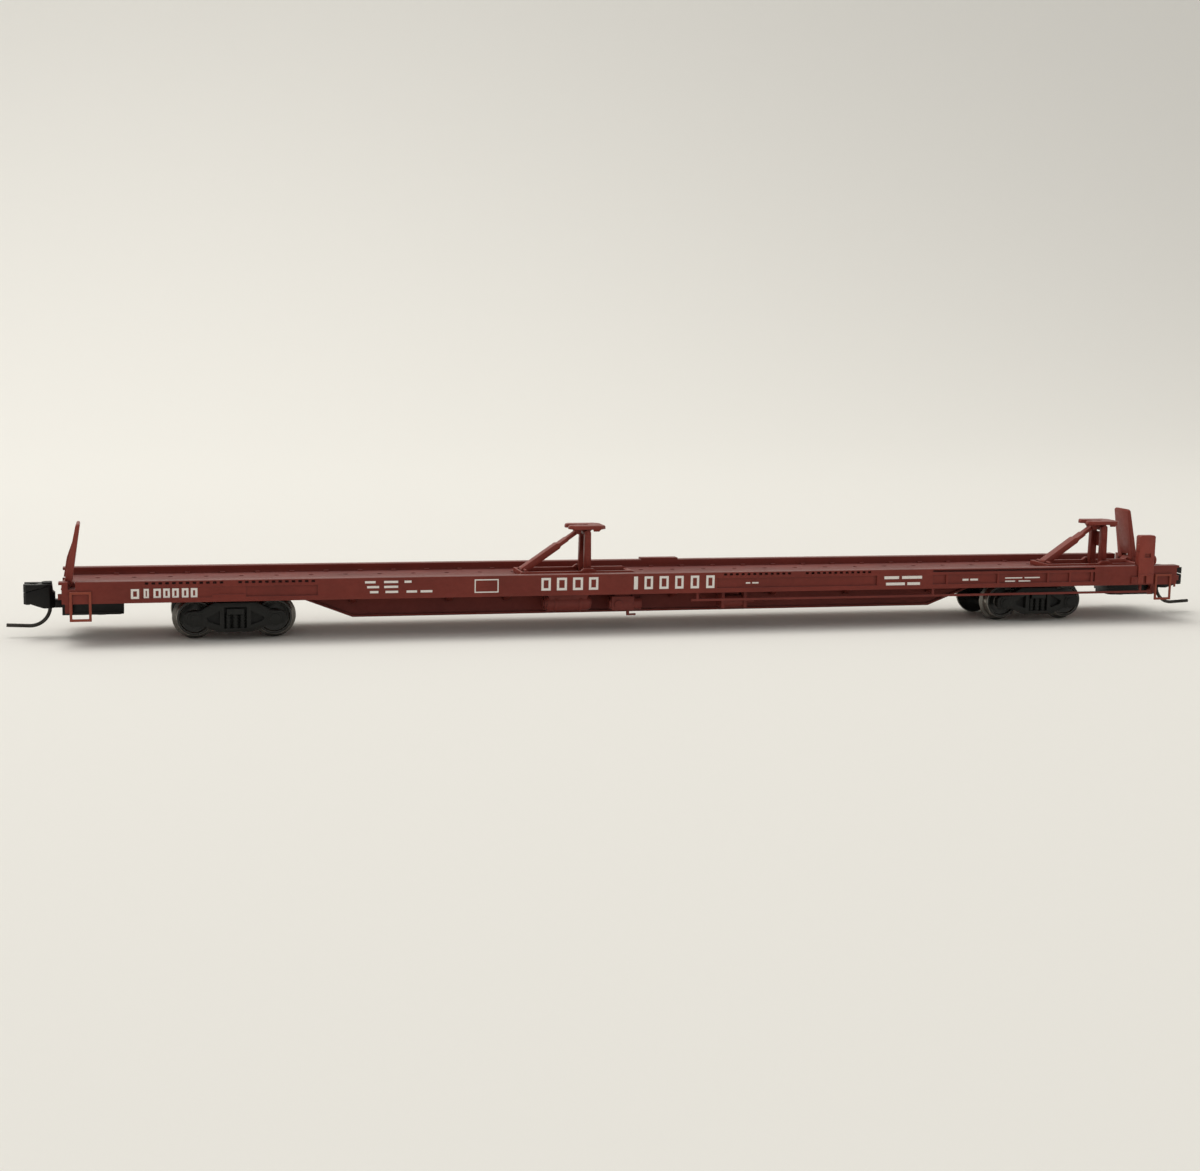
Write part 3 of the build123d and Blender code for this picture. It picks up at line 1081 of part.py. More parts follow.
with BuildPart() as brake_rod:
    rod_y = (ROD_Y - ROD_HALF, ROD_Y + ROD_HALF)
    block(ROD_SPAN_X, rod_y, (ROD_Z - ROD_HALF, ROD_Z + ROD_HALF))
    for hanger_x in HANGER_STARTS:
        block((hanger_x, hanger_x + HANGER_WIDTH), rod_y, (ROD_Z - ROD_HALF, SILL_BOTTOM))
    end_x = ROD_SPAN_X[1]
    block((end_x - 0.9, end_x), rod_y, (ROD_Z - 0.45, ROD_Z + 0.35))
write(brake_rod, "brake_rod")

# ---- brake stand, steps and levers --------------------------------------------------

STAND_OUTER_Y = HALF_WIDTH + TRIM_PROUD

with BuildPart() as brake_stand:
    column_y = (-STAND_OUTER_Y, -HALF_WIDTH + STAND_DEPTH)
    block(STAND_SPAN_X, column_y, (RAIL_TOP, STAND_TOP))
    top_edges = brake_stand.edges().filter_by(Axis.Y).group_by(Axis.Z)[-1]
    chamfer(top_edges, length=STAND_CHAMFER)
    block(STAND_SPAN_X, (-STAND_OUTER_Y, -HALF_WIDTH), (STAND_BOTTOM, RAIL_TOP))
    # Open back, so that the column is a channel.
    back_x = (STAND_SPAN_X[0] + STAND_WALL, STAND_SPAN_X[1] - STAND_WALL)
    back_y = (-HALF_WIDTH + TRIM_PROUD, -HALF_WIDTH + STAND_DEPTH)
    block(back_x, back_y, (RAIL_TOP, STAND_TOP - STAND_WALL), Mode.SUBTRACT)
    # Pocket in the face, low notch, and the ledge over it.
    pocket_y = (-STAND_OUTER_Y, -STAND_OUTER_Y + STAND_WINDOW_DEPTH)
    block(STAND_WINDOW_X, pocket_y, STAND_WINDOW_Z, Mode.SUBTRACT)
    block(STAND_NOTCH_X, (-STAND_OUTER_Y, -HALF_WIDTH), (STAND_BOTTOM, STAND_NOTCH_TOP), Mode.SUBTRACT)
    block(STAND_LEDGE_X, (-STAND_OUTER_Y - STAND_LEDGE_PROUD, -STAND_OUTER_Y), STAND_LEDGE_Z)
    # Ledge and bearing for the wheel.
    block((STAND_SPAN_X[0] - 0.15, STAND_SPAN_X[0]), (-STAND_OUTER_Y + 0.1, -8.2), (11.2, 12.2))
    shaft_x = (STAND_SPAN_X[1] - 0.1, STAND_SPAN_X[1] + 0.15)
    rod_along_x(-8.35, BRAKE_WHEEL_Z, shaft_x, 0.35)
write(brake_stand, "brake_stand")

with BuildPart() as brake_wheel:
    wheel_x = (STAND_SPAN_X[1] + 0.15, STAND_SPAN_X[1] + 0.4)
    wheel_y = -HALF_WIDTH + 0.6
    rod_along_x(wheel_y, BRAKE_WHEEL_Z, wheel_x, BRAKE_WHEEL_RADIUS)
    rod_along_x(wheel_y, BRAKE_WHEEL_Z, wheel_x, BRAKE_WHEEL_RADIUS - 0.2, Mode.SUBTRACT)
    rod_along_x(wheel_y, BRAKE_WHEEL_Z, wheel_x, 0.28)
    block(wheel_x, (wheel_y - 0.7, wheel_y + 0.7), (BRAKE_WHEEL_Z - 0.1, BRAKE_WHEEL_Z + 0.1))
    block(wheel_x, (wheel_y - 0.1, wheel_y + 0.1), (BRAKE_WHEEL_Z - 0.7, BRAKE_WHEEL_Z + 0.7))
write(brake_wheel, "brake_wheel")


def step_part(side):
    """Stirrup step: a rectangle of flat bar against the side sill."""
    step_y = sorted((side * HALF_WIDTH, side * (HALF_WIDTH + TRIM_PROUD)))
    with BuildPart() as step:
        block(STEP_SPAN_X, step_y, STEP_SPAN_Z)
        inside_x = (STEP_SPAN_X[0] + STEP_BAR, STEP_SPAN_X[1] - STEP_BAR)
        inside_z = (STEP_SPAN_Z[0] + STEP_BAR, STEP_SPAN_Z[1] - STEP_BAR)
        block(inside_x, step_y, inside_z, Mode.SUBTRACT)
    return step


def uncoupling_lever_part():
    """Wire lever along the end sill, bent down into a handle at the corner."""
    with BuildPart() as lever:
        with BuildLine() as route:
            corners = (
                (HALF_LENGTH + 0.2, 1.6, 6.9),
                (HALF_LENGTH + 0.2, -7.9, 6.9),
                (HALF_LENGTH + 0.2, -7.9, 5.3),
            )
            FilletPolyline(*corners, radius=0.5)
        with BuildSketch(Plane(origin=route.line @ 0, z_dir=route.line % 0)):
            Circle(0.17)
        sweep()
    return lever


for end_name, turn in ENDS:
    for half, side in (("a", -1), ("b", 1)):
        write(step_part(side), f"step_{end_name}_{half}", turn)
    write(uncoupling_lever_part(), f"uncoupling_lever_{end_name}", turn)
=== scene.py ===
"""Looks of the N-scale piggyback flat car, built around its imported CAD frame.

Every length below is in metres, in the row frame; MM turns millimetres into metres.
"""
import json
import math

import bmesh
import bpy
from mathutils import Matrix, Vector

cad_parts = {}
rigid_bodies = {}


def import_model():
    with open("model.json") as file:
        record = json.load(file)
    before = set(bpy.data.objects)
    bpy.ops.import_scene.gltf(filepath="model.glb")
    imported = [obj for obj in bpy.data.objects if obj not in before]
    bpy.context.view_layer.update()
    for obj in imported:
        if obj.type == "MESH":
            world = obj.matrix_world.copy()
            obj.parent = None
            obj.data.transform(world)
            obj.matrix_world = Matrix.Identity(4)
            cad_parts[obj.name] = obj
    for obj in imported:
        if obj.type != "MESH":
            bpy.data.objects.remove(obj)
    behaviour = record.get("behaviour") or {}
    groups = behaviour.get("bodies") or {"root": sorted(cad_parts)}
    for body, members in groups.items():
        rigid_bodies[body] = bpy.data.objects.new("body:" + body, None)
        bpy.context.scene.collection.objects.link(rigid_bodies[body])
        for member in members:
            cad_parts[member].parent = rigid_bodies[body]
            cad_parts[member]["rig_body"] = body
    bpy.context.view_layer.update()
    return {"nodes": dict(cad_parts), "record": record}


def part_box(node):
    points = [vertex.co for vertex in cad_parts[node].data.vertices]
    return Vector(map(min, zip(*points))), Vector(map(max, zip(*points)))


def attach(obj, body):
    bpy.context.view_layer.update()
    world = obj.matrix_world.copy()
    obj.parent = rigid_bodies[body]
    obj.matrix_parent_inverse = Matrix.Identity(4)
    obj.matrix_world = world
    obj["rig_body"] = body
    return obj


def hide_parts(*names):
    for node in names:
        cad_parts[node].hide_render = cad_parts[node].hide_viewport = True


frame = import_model()

MM = 0.001

# Outer face of the side sill, as the frame has it.
SILL_FACE_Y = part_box("body_casting")[1].y


# ---- camera, floor and light ----------------------------------------------------------

CAMERA_PLACE = Vector((-74.55, -259.97, 43.31)) * MM
CAMERA_YAW = 0.2528
CAMERA_PITCH = -0.1384
CAMERA_ROLL = 0.0186
CAMERA_LENS = 53.86
SENSOR_WIDTH = 36.0

FLOOR_HALF_WIDTH = 3.0
FLOOR_NEAR_Y = -2.5
FLOOR_BEND_Y = 0.35                    # where the floor starts to curve up
FLOOR_BEND_RADIUS = 1.1
FLOOR_TOP_Z = 2.6
FLOOR_BEND_STEPS = 24
PAPER_COLOUR = (0.86, 0.845, 0.80)
SKY_COLOUR = (1.0, 0.985, 0.955)
LAMP_COLOUR = (1.0, 0.985, 0.95)
OVERHEAD_PLACE = (-0.25, 0.30, 0.90)
OVERHEAD_TARGET = (0, 0.08, 0)
OVERHEAD_SIZE = (0.8, 0.6)
WORLD_STRENGTH = 0.58
OVERHEAD_POWER = 5.0
WINDOW_POWER = 1.1
WINDOW_SPREAD = 3.5                    # degrees across
WINDOW_WAY = (0.30, -0.80, -0.80)      # the way the window's light travels


def make_camera():
    """Camera at the viewing angle: low, from the front left of the car."""
    data = bpy.data.cameras.new("camera")
    data.lens = CAMERA_LENS
    data.sensor_width = SENSOR_WIDTH
    data.clip_start = 0.01
    data.clip_end = 20.0
    camera = bpy.data.objects.new("camera", data)
    bpy.context.scene.collection.objects.link(camera)
    forward = Vector((
        math.sin(CAMERA_YAW) * math.cos(CAMERA_PITCH),
        math.cos(CAMERA_YAW) * math.cos(CAMERA_PITCH),
        math.sin(CAMERA_PITCH),
    ))
    level_right = Vector((math.cos(CAMERA_YAW), -math.sin(CAMERA_YAW), 0))
    level_up = level_right.cross(forward)
    right = math.cos(CAMERA_ROLL) * level_right + math.sin(CAMERA_ROLL) * level_up
    up = right.cross(forward)
    turn = Matrix((right, up, -forward)).transposed()
    camera.matrix_world = Matrix.Translation(CAMERA_PLACE) @ turn.to_4x4()
    bpy.context.scene.camera = camera


def add_lamp(name, kind, power):
    """New warm white lamp in the scene; returns its object and its data."""
    data = bpy.data.lights.new(name, kind)
    data.energy = power
    data.color = LAMP_COLOUR
    lamp = bpy.data.objects.new(name, data)
    bpy.context.scene.collection.objects.link(lamp)
    return lamp, data


def floor_profile():
    """Side view of the floor: flat, then a quarter circle, then straight up."""
    profile = [(FLOOR_NEAR_Y, 0.0), (FLOOR_BEND_Y, 0.0)]
    for step in range(1, FLOOR_BEND_STEPS + 1):
        angle = math.pi / 2 * step / FLOOR_BEND_STEPS
        across = FLOOR_BEND_Y + FLOOR_BEND_RADIUS * math.sin(angle)
        profile.append((across, FLOOR_BEND_RADIUS * (1 - math.cos(angle))))
    profile.append((FLOOR_BEND_Y + FLOOR_BEND_RADIUS, FLOOR_TOP_Z))
    return profile


def make_floor():
    """Pale paper floor that curves up into a backdrop."""
    profile = floor_profile()
    points = [(x, y, z) for y, z in profile for x in (-FLOOR_HALF_WIDTH, FLOOR_HALF_WIDTH)]
    faces = [(2 * i, 2 * i + 1, 2 * i + 3, 2 * i + 2) for i in range(len(profile) - 1)]
    mesh = bpy.data.meshes.new("floor")
    mesh.from_pydata(points, [], faces)
    for polygon in mesh.polygons:
        polygon.use_smooth = True
    floor = bpy.data.objects.new("floor", mesh)
    bpy.context.scene.collection.objects.link(floor)
    material = bpy.data.materials.new("floor_paper")
    material.use_nodes = True
    shader = material.node_tree.nodes["Principled BSDF"]
    shader.inputs["Base Color"].default_value = (*PAPER_COLOUR, 1)
    shader.inputs["Roughness"].default_value = 0.85
    shader.inputs["Specular IOR Level"].default_value = 0.2
    mesh.materials.append(material)


def make_light():
    """Even surroundings, a large soft lamp overhead and a low window behind the car."""
    world = bpy.data.worlds.new("studio")
    world.use_nodes = True
    background = world.node_tree.nodes["Background"]
    background.inputs["Color"].default_value = (*SKY_COLOUR, 1)
    background.inputs["Strength"].default_value = WORLD_STRENGTH
    bpy.context.scene.world = world

    overhead, data = add_lamp("overhead", "AREA", OVERHEAD_POWER)
    data.shape = "RECTANGLE"
    data.size, data.size_y = OVERHEAD_SIZE
    aim = (Vector(OVERHEAD_TARGET) - Vector(OVERHEAD_PLACE)).normalized()
    turn = aim.to_track_quat("-Z", "Y").to_matrix().to_4x4()
    overhead.matrix_world = Matrix.Translation(OVERHEAD_PLACE) @ turn

    window, data = add_lamp("window", "SUN", WINDOW_POWER)
    data.angle = math.radians(WINDOW_SPREAD)
    window.rotation_euler = Vector(WINDOW_WAY).to_track_quat("-Z", "Y").to_euler()
    bpy.context.scene.view_settings.view_transform = "Standard"


# ---- materials ------------------------------------------------------------------------

# Sizes of the noise that breaks up plastic surfaces, as cycles per metre.
BROAD_SCALE = 140.0
FINE_SCALE = 1400.0
SPECK_SCALE = 5200.0
GRAIN_HEIGHT = 0.02 * MM
WAVE_HEIGHT = 0.05 * MM
PLASTIC_SPECULAR = 0.22
CREVICE_REACH = 0.9 * MM
EDGE_WEAR_AND_HIGHLIGHT_RADIUS = 0.11 * MM
# The same for metal.
PATCH_SCALE = 500.0
METAL_FINE_SCALE = 3200.0
RING_SCALE = 2600.0
RING_HEIGHT = 0.015 * MM
METAL_CREVICE_REACH = 0.8 * MM
METAL_EDGE_RADIUS = 0.1 * MM
RIM_RADIUS = 0.16 * MM
INK_SCALE = 3800.0

def nodes_of(name):
    """New node material; returns it with its tree and principled shader."""
    material = bpy.data.materials.new(name)
    material.use_nodes = True
    tree = material.node_tree
    return material, tree, tree.nodes["Principled BSDF"]


def noise(tree, vector, scale, detail=3.0, roughness=0.55):
    """Noise texture on the given coordinates."""
    node = tree.nodes.new("ShaderNodeTexNoise")
    node.inputs["Scale"].default_value = scale
    node.inputs["Detail"].default_value = detail
    node.inputs["Roughness"].default_value = roughness
    tree.links.new(vector, node.inputs["Vector"])
    return node.outputs["Fac"]


def ramp(tree, value, low, high, low_value=0.0, high_value=1.0):
    """Map a value's range to another, clamped."""
    node = tree.nodes.new("ShaderNodeMapRange")
    node.inputs["From Min"].default_value = low
    node.inputs["From Max"].default_value = high
    node.inputs["To Min"].default_value = low_value
    node.inputs["To Max"].default_value = high_value
    tree.links.new(value, node.inputs["Value"])
    return node.outputs["Result"]


def mix_colour(tree, factor, first, second, blend="MIX"):
    """Mix two colours; each is a socket or an RGB triple."""
    node = tree.nodes.new("ShaderNodeMix")
    node.data_type = "RGBA"
    node.blend_type = blend
    if isinstance(factor, (int, float)):
        node.inputs["Factor"].default_value = factor
    else:
        tree.links.new(factor, node.inputs["Factor"])
    for socket, colour in ((node.inputs[6], first), (node.inputs[7], second)):
        if isinstance(colour, tuple):
            socket.default_value = (*colour, 1)
        else:
            tree.links.new(colour, socket)
    return node.outputs[2]


def multiply(tree, first, second):
    """Product of two values; the second may be a number."""
    node = tree.nodes.new("ShaderNodeMath")
    node.operation = "MULTIPLY"
    tree.links.new(first, node.inputs[0])
    if isinstance(second, (int, float)):
        node.inputs[1].default_value = second
    else:
        tree.links.new(second, node.inputs[1])
    return node.outputs[0]


def edge_mask(tree, radius):
    """1 along convex and concave edges, 0 on flat faces, from rounded against true normals."""
    bevel = tree.nodes.new("ShaderNodeBevel")
    bevel.samples = 4
    bevel.inputs["Radius"].default_value = radius
    geometry = tree.nodes.new("ShaderNodeNewGeometry")
    dot = tree.nodes.new("ShaderNodeVectorMath")
    dot.operation = "DOT_PRODUCT"
    tree.links.new(bevel.outputs["Normal"], dot.inputs[0])
    tree.links.new(geometry.outputs["Normal"], dot.inputs[1])
    return ramp(tree, dot.outputs["Value"], 0.97, 0.75)


def occlusion_shade_mask(tree, distance):
    """Mask for painted shade: 1 deep in corners, 0 in the open."""
    occlusion = tree.nodes.new("ShaderNodeAmbientOcclusion")
    occlusion.samples = 4
    occlusion.inputs["Distance"].default_value = distance
    return ramp(tree, occlusion.outputs["AO"], 0.85, 0.25)


def top_mask(tree):
    """1 on faces that look up, 0 on the sides and below."""
    geometry = tree.nodes.new("ShaderNodeNewGeometry")
    split = tree.nodes.new("ShaderNodeSeparateXYZ")
    tree.links.new(geometry.outputs["Normal"], split.inputs[0])
    return ramp(tree, split.outputs["Z"], 0.55, 0.95)


def shade(colour, factor):
    """Colour made lighter or darker by a factor."""
    return tuple(min(1.0, channel * factor) for channel in colour)


def moulded_plastic(name, colour, roughness=0.42, top_highlight=0.25, wear_and_highlight=0.5, grain=0.10, mottle=0.16):
    """Coloured moulded plastic: mottling, a painted highlight on faces that look up, edges lighter
    from wear and a painted highlight, painted shade in crevices, fine grain.
    """
    material, tree, shader = nodes_of(name)
    place = tree.nodes.new("ShaderNodeTexCoord").outputs["Object"]
    broad = noise(tree, place, BROAD_SCALE, 4.0)
    fine = noise(tree, place, FINE_SCALE, 5.0, 0.65)
    speck = noise(tree, place, SPECK_SCALE, 2.0)
    darker = shade(colour, 1 - mottle)
    lighter = shade(colour, 1 + mottle)
    base = mix_colour(tree, ramp(tree, broad, 0.3, 0.7), darker, lighter)
    base = mix_colour(tree, ramp(tree, fine, 0.42, 0.72, 0.0, 0.35), base, shade(colour, 0.72))
    # painted shade: the plastic is drawn much darker deep in corners and crevices
    crevice = multiply(tree, occlusion_shade_mask(tree, CREVICE_REACH), 0.6)
    base = mix_colour(tree, crevice, base, shade(colour, 0.35))
    # painted highlight: faces that look up are drawn paler in patches, standing in for light
    # reflected off them
    pale = tuple(0.38 + 0.6 * channel for channel in colour)
    if top_highlight > 0:
        patchy = ramp(tree, fine, 0.35, 0.75, 0.35, 1.0)
        painted_top_highlight = multiply(tree, multiply(tree, top_mask(tree), patchy), top_highlight)
        base = mix_colour(tree, painted_top_highlight, base, pale)
    # edges drawn lighter: partly real wear, partly a painted highlight where edges catch the light
    if wear_and_highlight > 0:
        broken = ramp(tree, fine, 0.35, 0.6)
        worn_and_lit_edges = multiply(tree, multiply(tree, edge_mask(tree, EDGE_WEAR_AND_HIGHLIGHT_RADIUS), broken), wear_and_highlight)
        base = mix_colour(tree, worn_and_lit_edges, base, tuple(0.04 + 1.5 * channel for channel in colour))
    tree.links.new(base, shader.inputs["Base Color"])
    sheen_of_surface = ramp(tree, fine, 0.3, 0.7, roughness - 0.07, roughness + 0.12)
    tree.links.new(sheen_of_surface, shader.inputs["Roughness"])
    shader.inputs["Specular IOR Level"].default_value = PLASTIC_SPECULAR
    bump = tree.nodes.new("ShaderNodeBump")
    bump.inputs["Strength"].default_value = grain
    bump.inputs["Distance"].default_value = GRAIN_HEIGHT
    tree.links.new(speck, bump.inputs["Height"])
    waves = tree.nodes.new("ShaderNodeBump")
    waves.inputs["Strength"].default_value = grain * 1.5
    waves.inputs["Distance"].default_value = WAVE_HEIGHT
    tree.links.new(fine, waves.inputs["Height"])
    tree.links.new(waves.outputs["Normal"], bump.inputs["Normal"])
    tree.links.new(bump.outputs["Normal"], shader.inputs["Normal"])
    return material


def turned_metal(name, colour, roughness=0.32, corner_shade_colour=(0.05, 0.045, 0.04), rings=True, axis="Y"):
    """Machined metal: fine turning rings, darker oxidised patches, and painted shade in the corners.
    """
    material, tree, shader = nodes_of(name)
    place = tree.nodes.new("ShaderNodeTexCoord").outputs["Object"]
    patches = noise(tree, place, PATCH_SCALE, 5.0, 0.6)
    fine = noise(tree, place, METAL_FINE_SCALE, 3.0)
    base = mix_colour(tree, ramp(tree, patches, 0.42, 0.72, 0.0, 0.7), colour, shade(colour, 0.45))
    # painted shade: the metal is drawn near black deep in corners
    corners = multiply(tree, occlusion_shade_mask(tree, METAL_CREVICE_REACH), 0.85)
    base = mix_colour(tree, corners, base, corner_shade_colour)
    # edges drawn lighter: partly real wear, partly a painted highlight
    worn_and_lit_edges = multiply(tree, edge_mask(tree, METAL_EDGE_RADIUS), 0.5)
    base = mix_colour(tree, worn_and_lit_edges, base, shade(colour, 1.5))
    tree.links.new(base, shader.inputs["Base Color"])
    shader.inputs["Metallic"].default_value = 1.0
    sheen = ramp(tree, fine, 0.3, 0.7, roughness - 0.08, roughness + 0.14)
    tree.links.new(sheen, shader.inputs["Roughness"])
    height = fine
    if rings:
        wave = tree.nodes.new("ShaderNodeTexWave")
        wave.wave_type = "BANDS"
        wave.bands_direction = axis
        wave.inputs["Scale"].default_value = RING_SCALE
        wave.inputs["Distortion"].default_value = 1.5
        tree.links.new(place, wave.inputs["Vector"])
        height = wave.outputs["Fac"]
    bump = tree.nodes.new("ShaderNodeBump")
    bump.inputs["Strength"].default_value = 0.18
    bump.inputs["Distance"].default_value = RING_HEIGHT
    tree.links.new(height, bump.inputs["Height"])
    tree.links.new(bump.outputs["Normal"], shader.inputs["Normal"])
    return material


def wheel_finish(name, colour, face_colour):
    """Turned metal tread and flange, with blackened faces and a painted highlight along their rim."""
    material = turned_metal(name, colour, 0.34)
    tree = material.node_tree
    shader = tree.nodes["Principled BSDF"]
    metal = shader.inputs["Base Color"].links[0].from_socket
    split = tree.nodes.new("ShaderNodeSeparateXYZ")
    tree.links.new(tree.nodes.new("ShaderNodeTexCoord").outputs["Normal"], split.inputs[0])
    sideways = tree.nodes.new("ShaderNodeMath")
    sideways.operation = "ABSOLUTE"
    tree.links.new(split.outputs["Y"], sideways.inputs[0])
    face = ramp(tree, sideways.outputs[0], 0.80, 0.97)
    # painted highlight: a lighter ring along the rim of the blackened faces
    rim = multiply(tree, edge_mask(tree, RIM_RADIUS), 0.8)
    faces = mix_colour(tree, rim, face_colour, shade(colour, 0.5))
    tree.links.new(mix_colour(tree, face, metal, faces), shader.inputs["Base Color"])
    tree.links.new(ramp(tree, face, 0.0, 1.0, 1.0, 0.25), shader.inputs["Metallic"])
    return material


def printed_ink(name, colour):
    """Pad-printed white ink: slightly uneven cover over the red, with a soft sheen."""
    material, tree, shader = nodes_of(name)
    place = tree.nodes.new("ShaderNodeTexCoord").outputs["Object"]
    cover = noise(tree, place, INK_SCALE, 4.0, 0.7)
    base = mix_colour(tree, ramp(tree, cover, 0.55, 0.85, 0.0, 0.6), colour, BODY_RED)
    tree.links.new(base, shader.inputs["Base Color"])
    tree.links.new(ramp(tree, cover, 0.3, 0.7, 0.38, 0.52), shader.inputs["Roughness"])
    return material


BODY_RED = (0.172, 0.027, 0.018)
SHADE_RED = (0.165, 0.030, 0.022)
FITTING_RED = (0.235, 0.042, 0.028)
STEP_RED = (0.250, 0.052, 0.030)
BLACK = (0.0060, 0.0056, 0.0050)
TRUCK_BLACK = (0.0120, 0.0120, 0.0105)
INK_WHITE = (0.78, 0.74, 0.69)


def make_materials():
    """One material per slot of the record, and the ink."""
    return {
        "body_red": moulded_plastic("body_red_plastic", BODY_RED, 0.44, top_highlight=0.16),
        "underframe_red": moulded_plastic("underframe_red_plastic", SHADE_RED, 0.48, top_highlight=0.10),
        "fitting_red": moulded_plastic("fitting_red_plastic", FITTING_RED, 0.42, top_highlight=0.16),
        "trim_red": moulded_plastic("trim_red_plastic", STEP_RED, 0.40, top_highlight=0.15, wear_and_highlight=0.35),
        "truck_black": moulded_plastic("truck_black_plastic", TRUCK_BLACK, 0.46, top_highlight=0.06, wear_and_highlight=0.3),
        "axle_black": moulded_plastic("axle_black_plastic", BLACK, 0.40, top_highlight=0.05, wear_and_highlight=0.2),
        "coupler_black": moulded_plastic("coupler_black_plastic", BLACK, 0.38, top_highlight=0.05, wear_and_highlight=0.25),
        "wheel_metal": wheel_finish("wheel_metal", (0.40, 0.38, 0.34), (0.014, 0.014, 0.012)),
        "ballast_steel": turned_metal("ballast_steel", (0.30, 0.30, 0.30), 0.45, rings=False),
        "bright_steel": turned_metal("bright_steel", (0.50, 0.49, 0.46), 0.30, axis="Z"),
        "trip_wire": turned_metal("trip_wire", (0.055, 0.050, 0.045), 0.38, rings=False),
        "ink": printed_ink("white_ink", INK_WHITE),
    }


# ---- pieces ---------------------------------------------------------------------------

MERGE_DISTANCE = 0.0005 * MM
FLAT_ANGLE = math.radians(1.0)         # faces closer than this are joined into one
ROUND_ANGLE = math.radians(28.0)       # edges sharper than this are rounded
SHARP_ANGLE = math.radians(38.0)       # edges sharper than this stay crisp in shading
ROUND_SEGMENTS = 2


def add_piece(name, mesh, material, body):
    """Put a finished mesh in the scene, riding on a CAD body."""
    piece = bpy.data.objects.new(name, mesh)
    bpy.context.scene.collection.objects.link(piece)
    mesh.materials.clear()
    mesh.materials.append(material)
    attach(piece, body)
    return piece


def rounded_copy(node, material, width):
    """Piece that stands for a CAD node, with its edges rounded as moulding rounds them."""
    source = frame["nodes"][node]
    form = bmesh.new()
    form.from_mesh(source.data)
    bmesh.ops.remove_doubles(form, verts=form.verts, dist=MERGE_DISTANCE)
    bmesh.ops.dissolve_limit(form, angle_limit=FLAT_ANGLE, verts=form.verts, edges=form.edges)
    mesh = bpy.data.meshes.new(f"rounded_{node}")
    form.to_mesh(mesh)
    form.free()
    piece = add_piece(f"rounded_{node}", mesh, material, source["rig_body"])
    bevel = piece.modifiers.new("round", "BEVEL")
    bevel.width = width
    bevel.segments = ROUND_SEGMENTS
    bevel.limit_method = "ANGLE"
    bevel.angle_limit = ROUND_ANGLE
    bevel.use_clamp_overlap = True
    bevel.harden_normals = False
    bpy.context.view_layer.update()
    evaluated = piece.evaluated_get(bpy.context.evaluated_depsgraph_get())
    finished = bpy.data.meshes.new_from_object(evaluated)
    piece.modifiers.clear()
    piece.data = finished
    finished.shade_smooth()
    finished.set_sharp_from_angle(angle=SHARP_ANGLE)
    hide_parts(node)
    return piece


# Edges are rounded by these amounts in millimetres; a piece not listed keeps its CAD mesh.
ROUNDING = {
    "body_casting": 0.05,
    "center_sill": 0.08,
    "truck_frame": 0.09,
    "draft_box": 0.08,
    "draft_lid": 0.08,
    "coupler_shank": 0.10,
    "coupler_knuckle": 0.10,
    "bridge_plate": 0.10,
    "bridge_brackets": 0.06,
    "hitch_track": 0.06,
    "hitch_post": 0.06,
    "hitch_head": 0.05,
    "hitch_strut": 0.06,
    "air_reservoir": 0.07,
    "control_valve": 0.08,
    "brake_cylinder": 0.07,
    "brake_rod": 0.05,
    "brake_stand": 0.07,
    "brake_wheel": 0.04,
    "step": 0.06,
    "wheel": 0.06,
}


def dress_nodes(materials, slots):
    """Give every CAD node its material, and its rounded piece where it has one."""
    for node, item in frame["nodes"].items():
        slot = slots[node]
        item.data.materials.clear()
        item.data.materials.append(materials[slot])
        for stem, width in ROUNDING.items():
            if node.startswith(stem):
                rounded_copy(node, materials[slot], width * MM)
                break


INK_THICKNESS = 0.012                  # millimetres


def bar(form, low, high):
    """Thin block between two corners."""
    centre = (Vector(low) + Vector(high)) / 2
    size = Vector(high) - Vector(low)
    turn = Matrix.Translation(centre) @ Matrix.Diagonal((*size, 1))
    bmesh.ops.create_cube(form, size=1.0, matrix=turn)


def face_bar(form, side, x_span, z_span, recess):
    """Ink bar on one side face, given in millimetres."""
    y_from = side * (SILL_FACE_Y - recess * MM)
    y_to = y_from + side * INK_THICKNESS * MM
    low = (x_span[0] * MM, min(y_from, y_to), z_span[0] * MM)
    high = (x_span[1] * MM, max(y_from, y_to), z_span[1] * MM)
    bar(form, low, high)


# Plain printed dashes: x from, x to, z from, z to, and how deep the face behind them is recessed.
DASHES = (
    (-43.9, -42.4, 8.02, 8.34, 0.0), (-41.2, -39.2, 8.02, 8.34, 0.0), (-38.3, -37.3, 8.02, 8.34, 0.0),
    (-43.6, -41.9, 7.32, 7.64, 0.0), (-41.2, -39.2, 7.32, 7.64, 0.0),
    (-43.2, -42.0, 6.60, 6.92, 0.0), (-41.0, -39.2, 6.60, 6.92, 0.0), (-38.0, -36.5, 6.60, 6.92, 0.0),
    (-36.0, -34.3, 6.60, 6.92, 0.0),
    (12.9, 13.6, 7.02, 7.24, 0.30), (13.9, 14.9, 7.02, 7.24, 0.30),
    (35.0, 37.4, 7.38, 7.82, 0.0), (37.9, 41.2, 7.38, 7.82, 0.0),
    (35.3, 38.4, 6.42, 6.84, 0.0), (38.8, 40.9, 6.42, 6.84, 0.0),
    (48.1, 49.1, 6.90, 7.20, 0.30), (49.4, 50.7, 6.90, 7.20, 0.30),
    (55.3, 58.2, 7.12, 7.30, 0.30), (58.6, 61.2, 7.12, 7.30, 0.30),
    (55.3, 57.0, 6.60, 6.80, 0.30), (57.6, 59.6, 6.60, 6.80, 0.30),
)
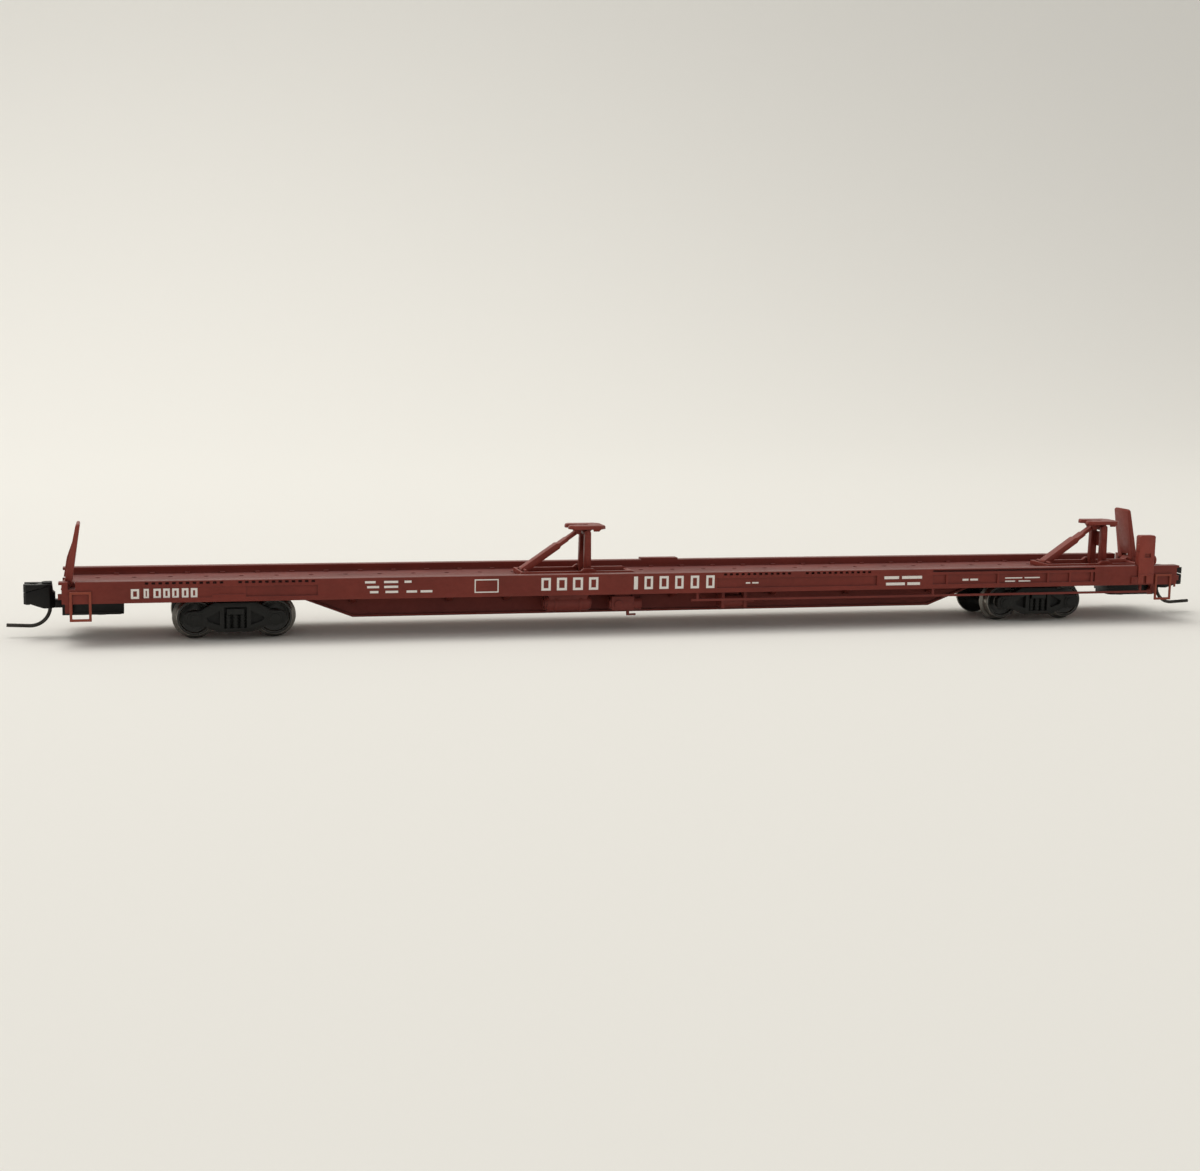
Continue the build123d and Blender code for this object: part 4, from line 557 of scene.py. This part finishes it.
# Plain hollow marks: x from, x to, z from, z to, recess of the face, and width of their outline.
HOLLOW_MARKS = (
    (-75.9, -74.8, 6.40, 7.75, 0.0, 0.30),
    (-74.2, -73.5, 6.40, 7.75, 0.14, 0.26),
    (-72.9, -71.9, 6.40, 7.75, 0.14, 0.30),
    (-71.6, -70.7, 6.40, 7.75, 0.14, 0.30),
    (-70.4, -69.5, 6.40, 7.75, 0.14, 0.30),
    (-69.1, -68.2, 6.40, 7.75, 0.14, 0.30),
    (-67.9, -67.0, 6.40, 7.75, 0.14, 0.30),
    (-28.2, -24.7, 6.40, 8.35, 0.0, 0.16),
    (-18.4, -17.0, 6.55, 8.40, 0.0, 0.34),
    (-16.1, -14.6, 6.55, 8.40, 0.0, 0.34),
    (-13.7, -12.2, 6.55, 8.40, 0.0, 0.34),
    (-11.3, -9.9, 6.55, 8.40, 0.0, 0.34),
    (-4.5, -3.9, 6.50, 8.40, 0.0, 0.30),
    (-2.9, -1.6, 6.50, 8.40, 0.0, 0.34),
    (-0.6, 0.8, 6.50, 8.40, 0.0, 0.34),
    (1.8, 3.1, 6.50, 8.40, 0.0, 0.34),
    (4.2, 5.5, 6.50, 8.40, 0.0, 0.34),
    (6.6, 7.9, 6.50, 8.40, 0.0, 0.34),
)


def make_markings(materials):
    """Plain white marks where the car carries its lettering, on both faces."""
    for side, side_name in ((-1, "near"), (1, "far")):
        form = bmesh.new()
        for x_from, x_to, z_from, z_to, recess in DASHES:
            face_bar(form, side, (x_from, x_to), (z_from, z_to), recess)
        for x_from, x_to, z_from, z_to, recess, stroke in HOLLOW_MARKS:
            face_bar(form, side, (x_from, x_from + stroke), (z_from, z_to), recess)
            face_bar(form, side, (x_to - stroke, x_to), (z_from, z_to), recess)
            if x_to - x_from > 2.5 * stroke:
                between = (x_from + stroke, x_to - stroke)
                face_bar(form, side, between, (z_from, z_from + stroke), recess)
                face_bar(form, side, between, (z_to - stroke, z_to), recess)
        mesh = bpy.data.meshes.new(f"markings_{side_name}")
        form.to_mesh(mesh)
        form.free()
        add_piece(f"markings_{side_name}", mesh, materials["ink"], "car")


def main():
    make_camera()
    make_floor()
    make_light()
    materials = make_materials()
    slots = {entry["node"]: entry["material_slot"] for entry in frame["record"]["subparts"]}
    dress_nodes(materials, slots)
    make_markings(materials)


main()
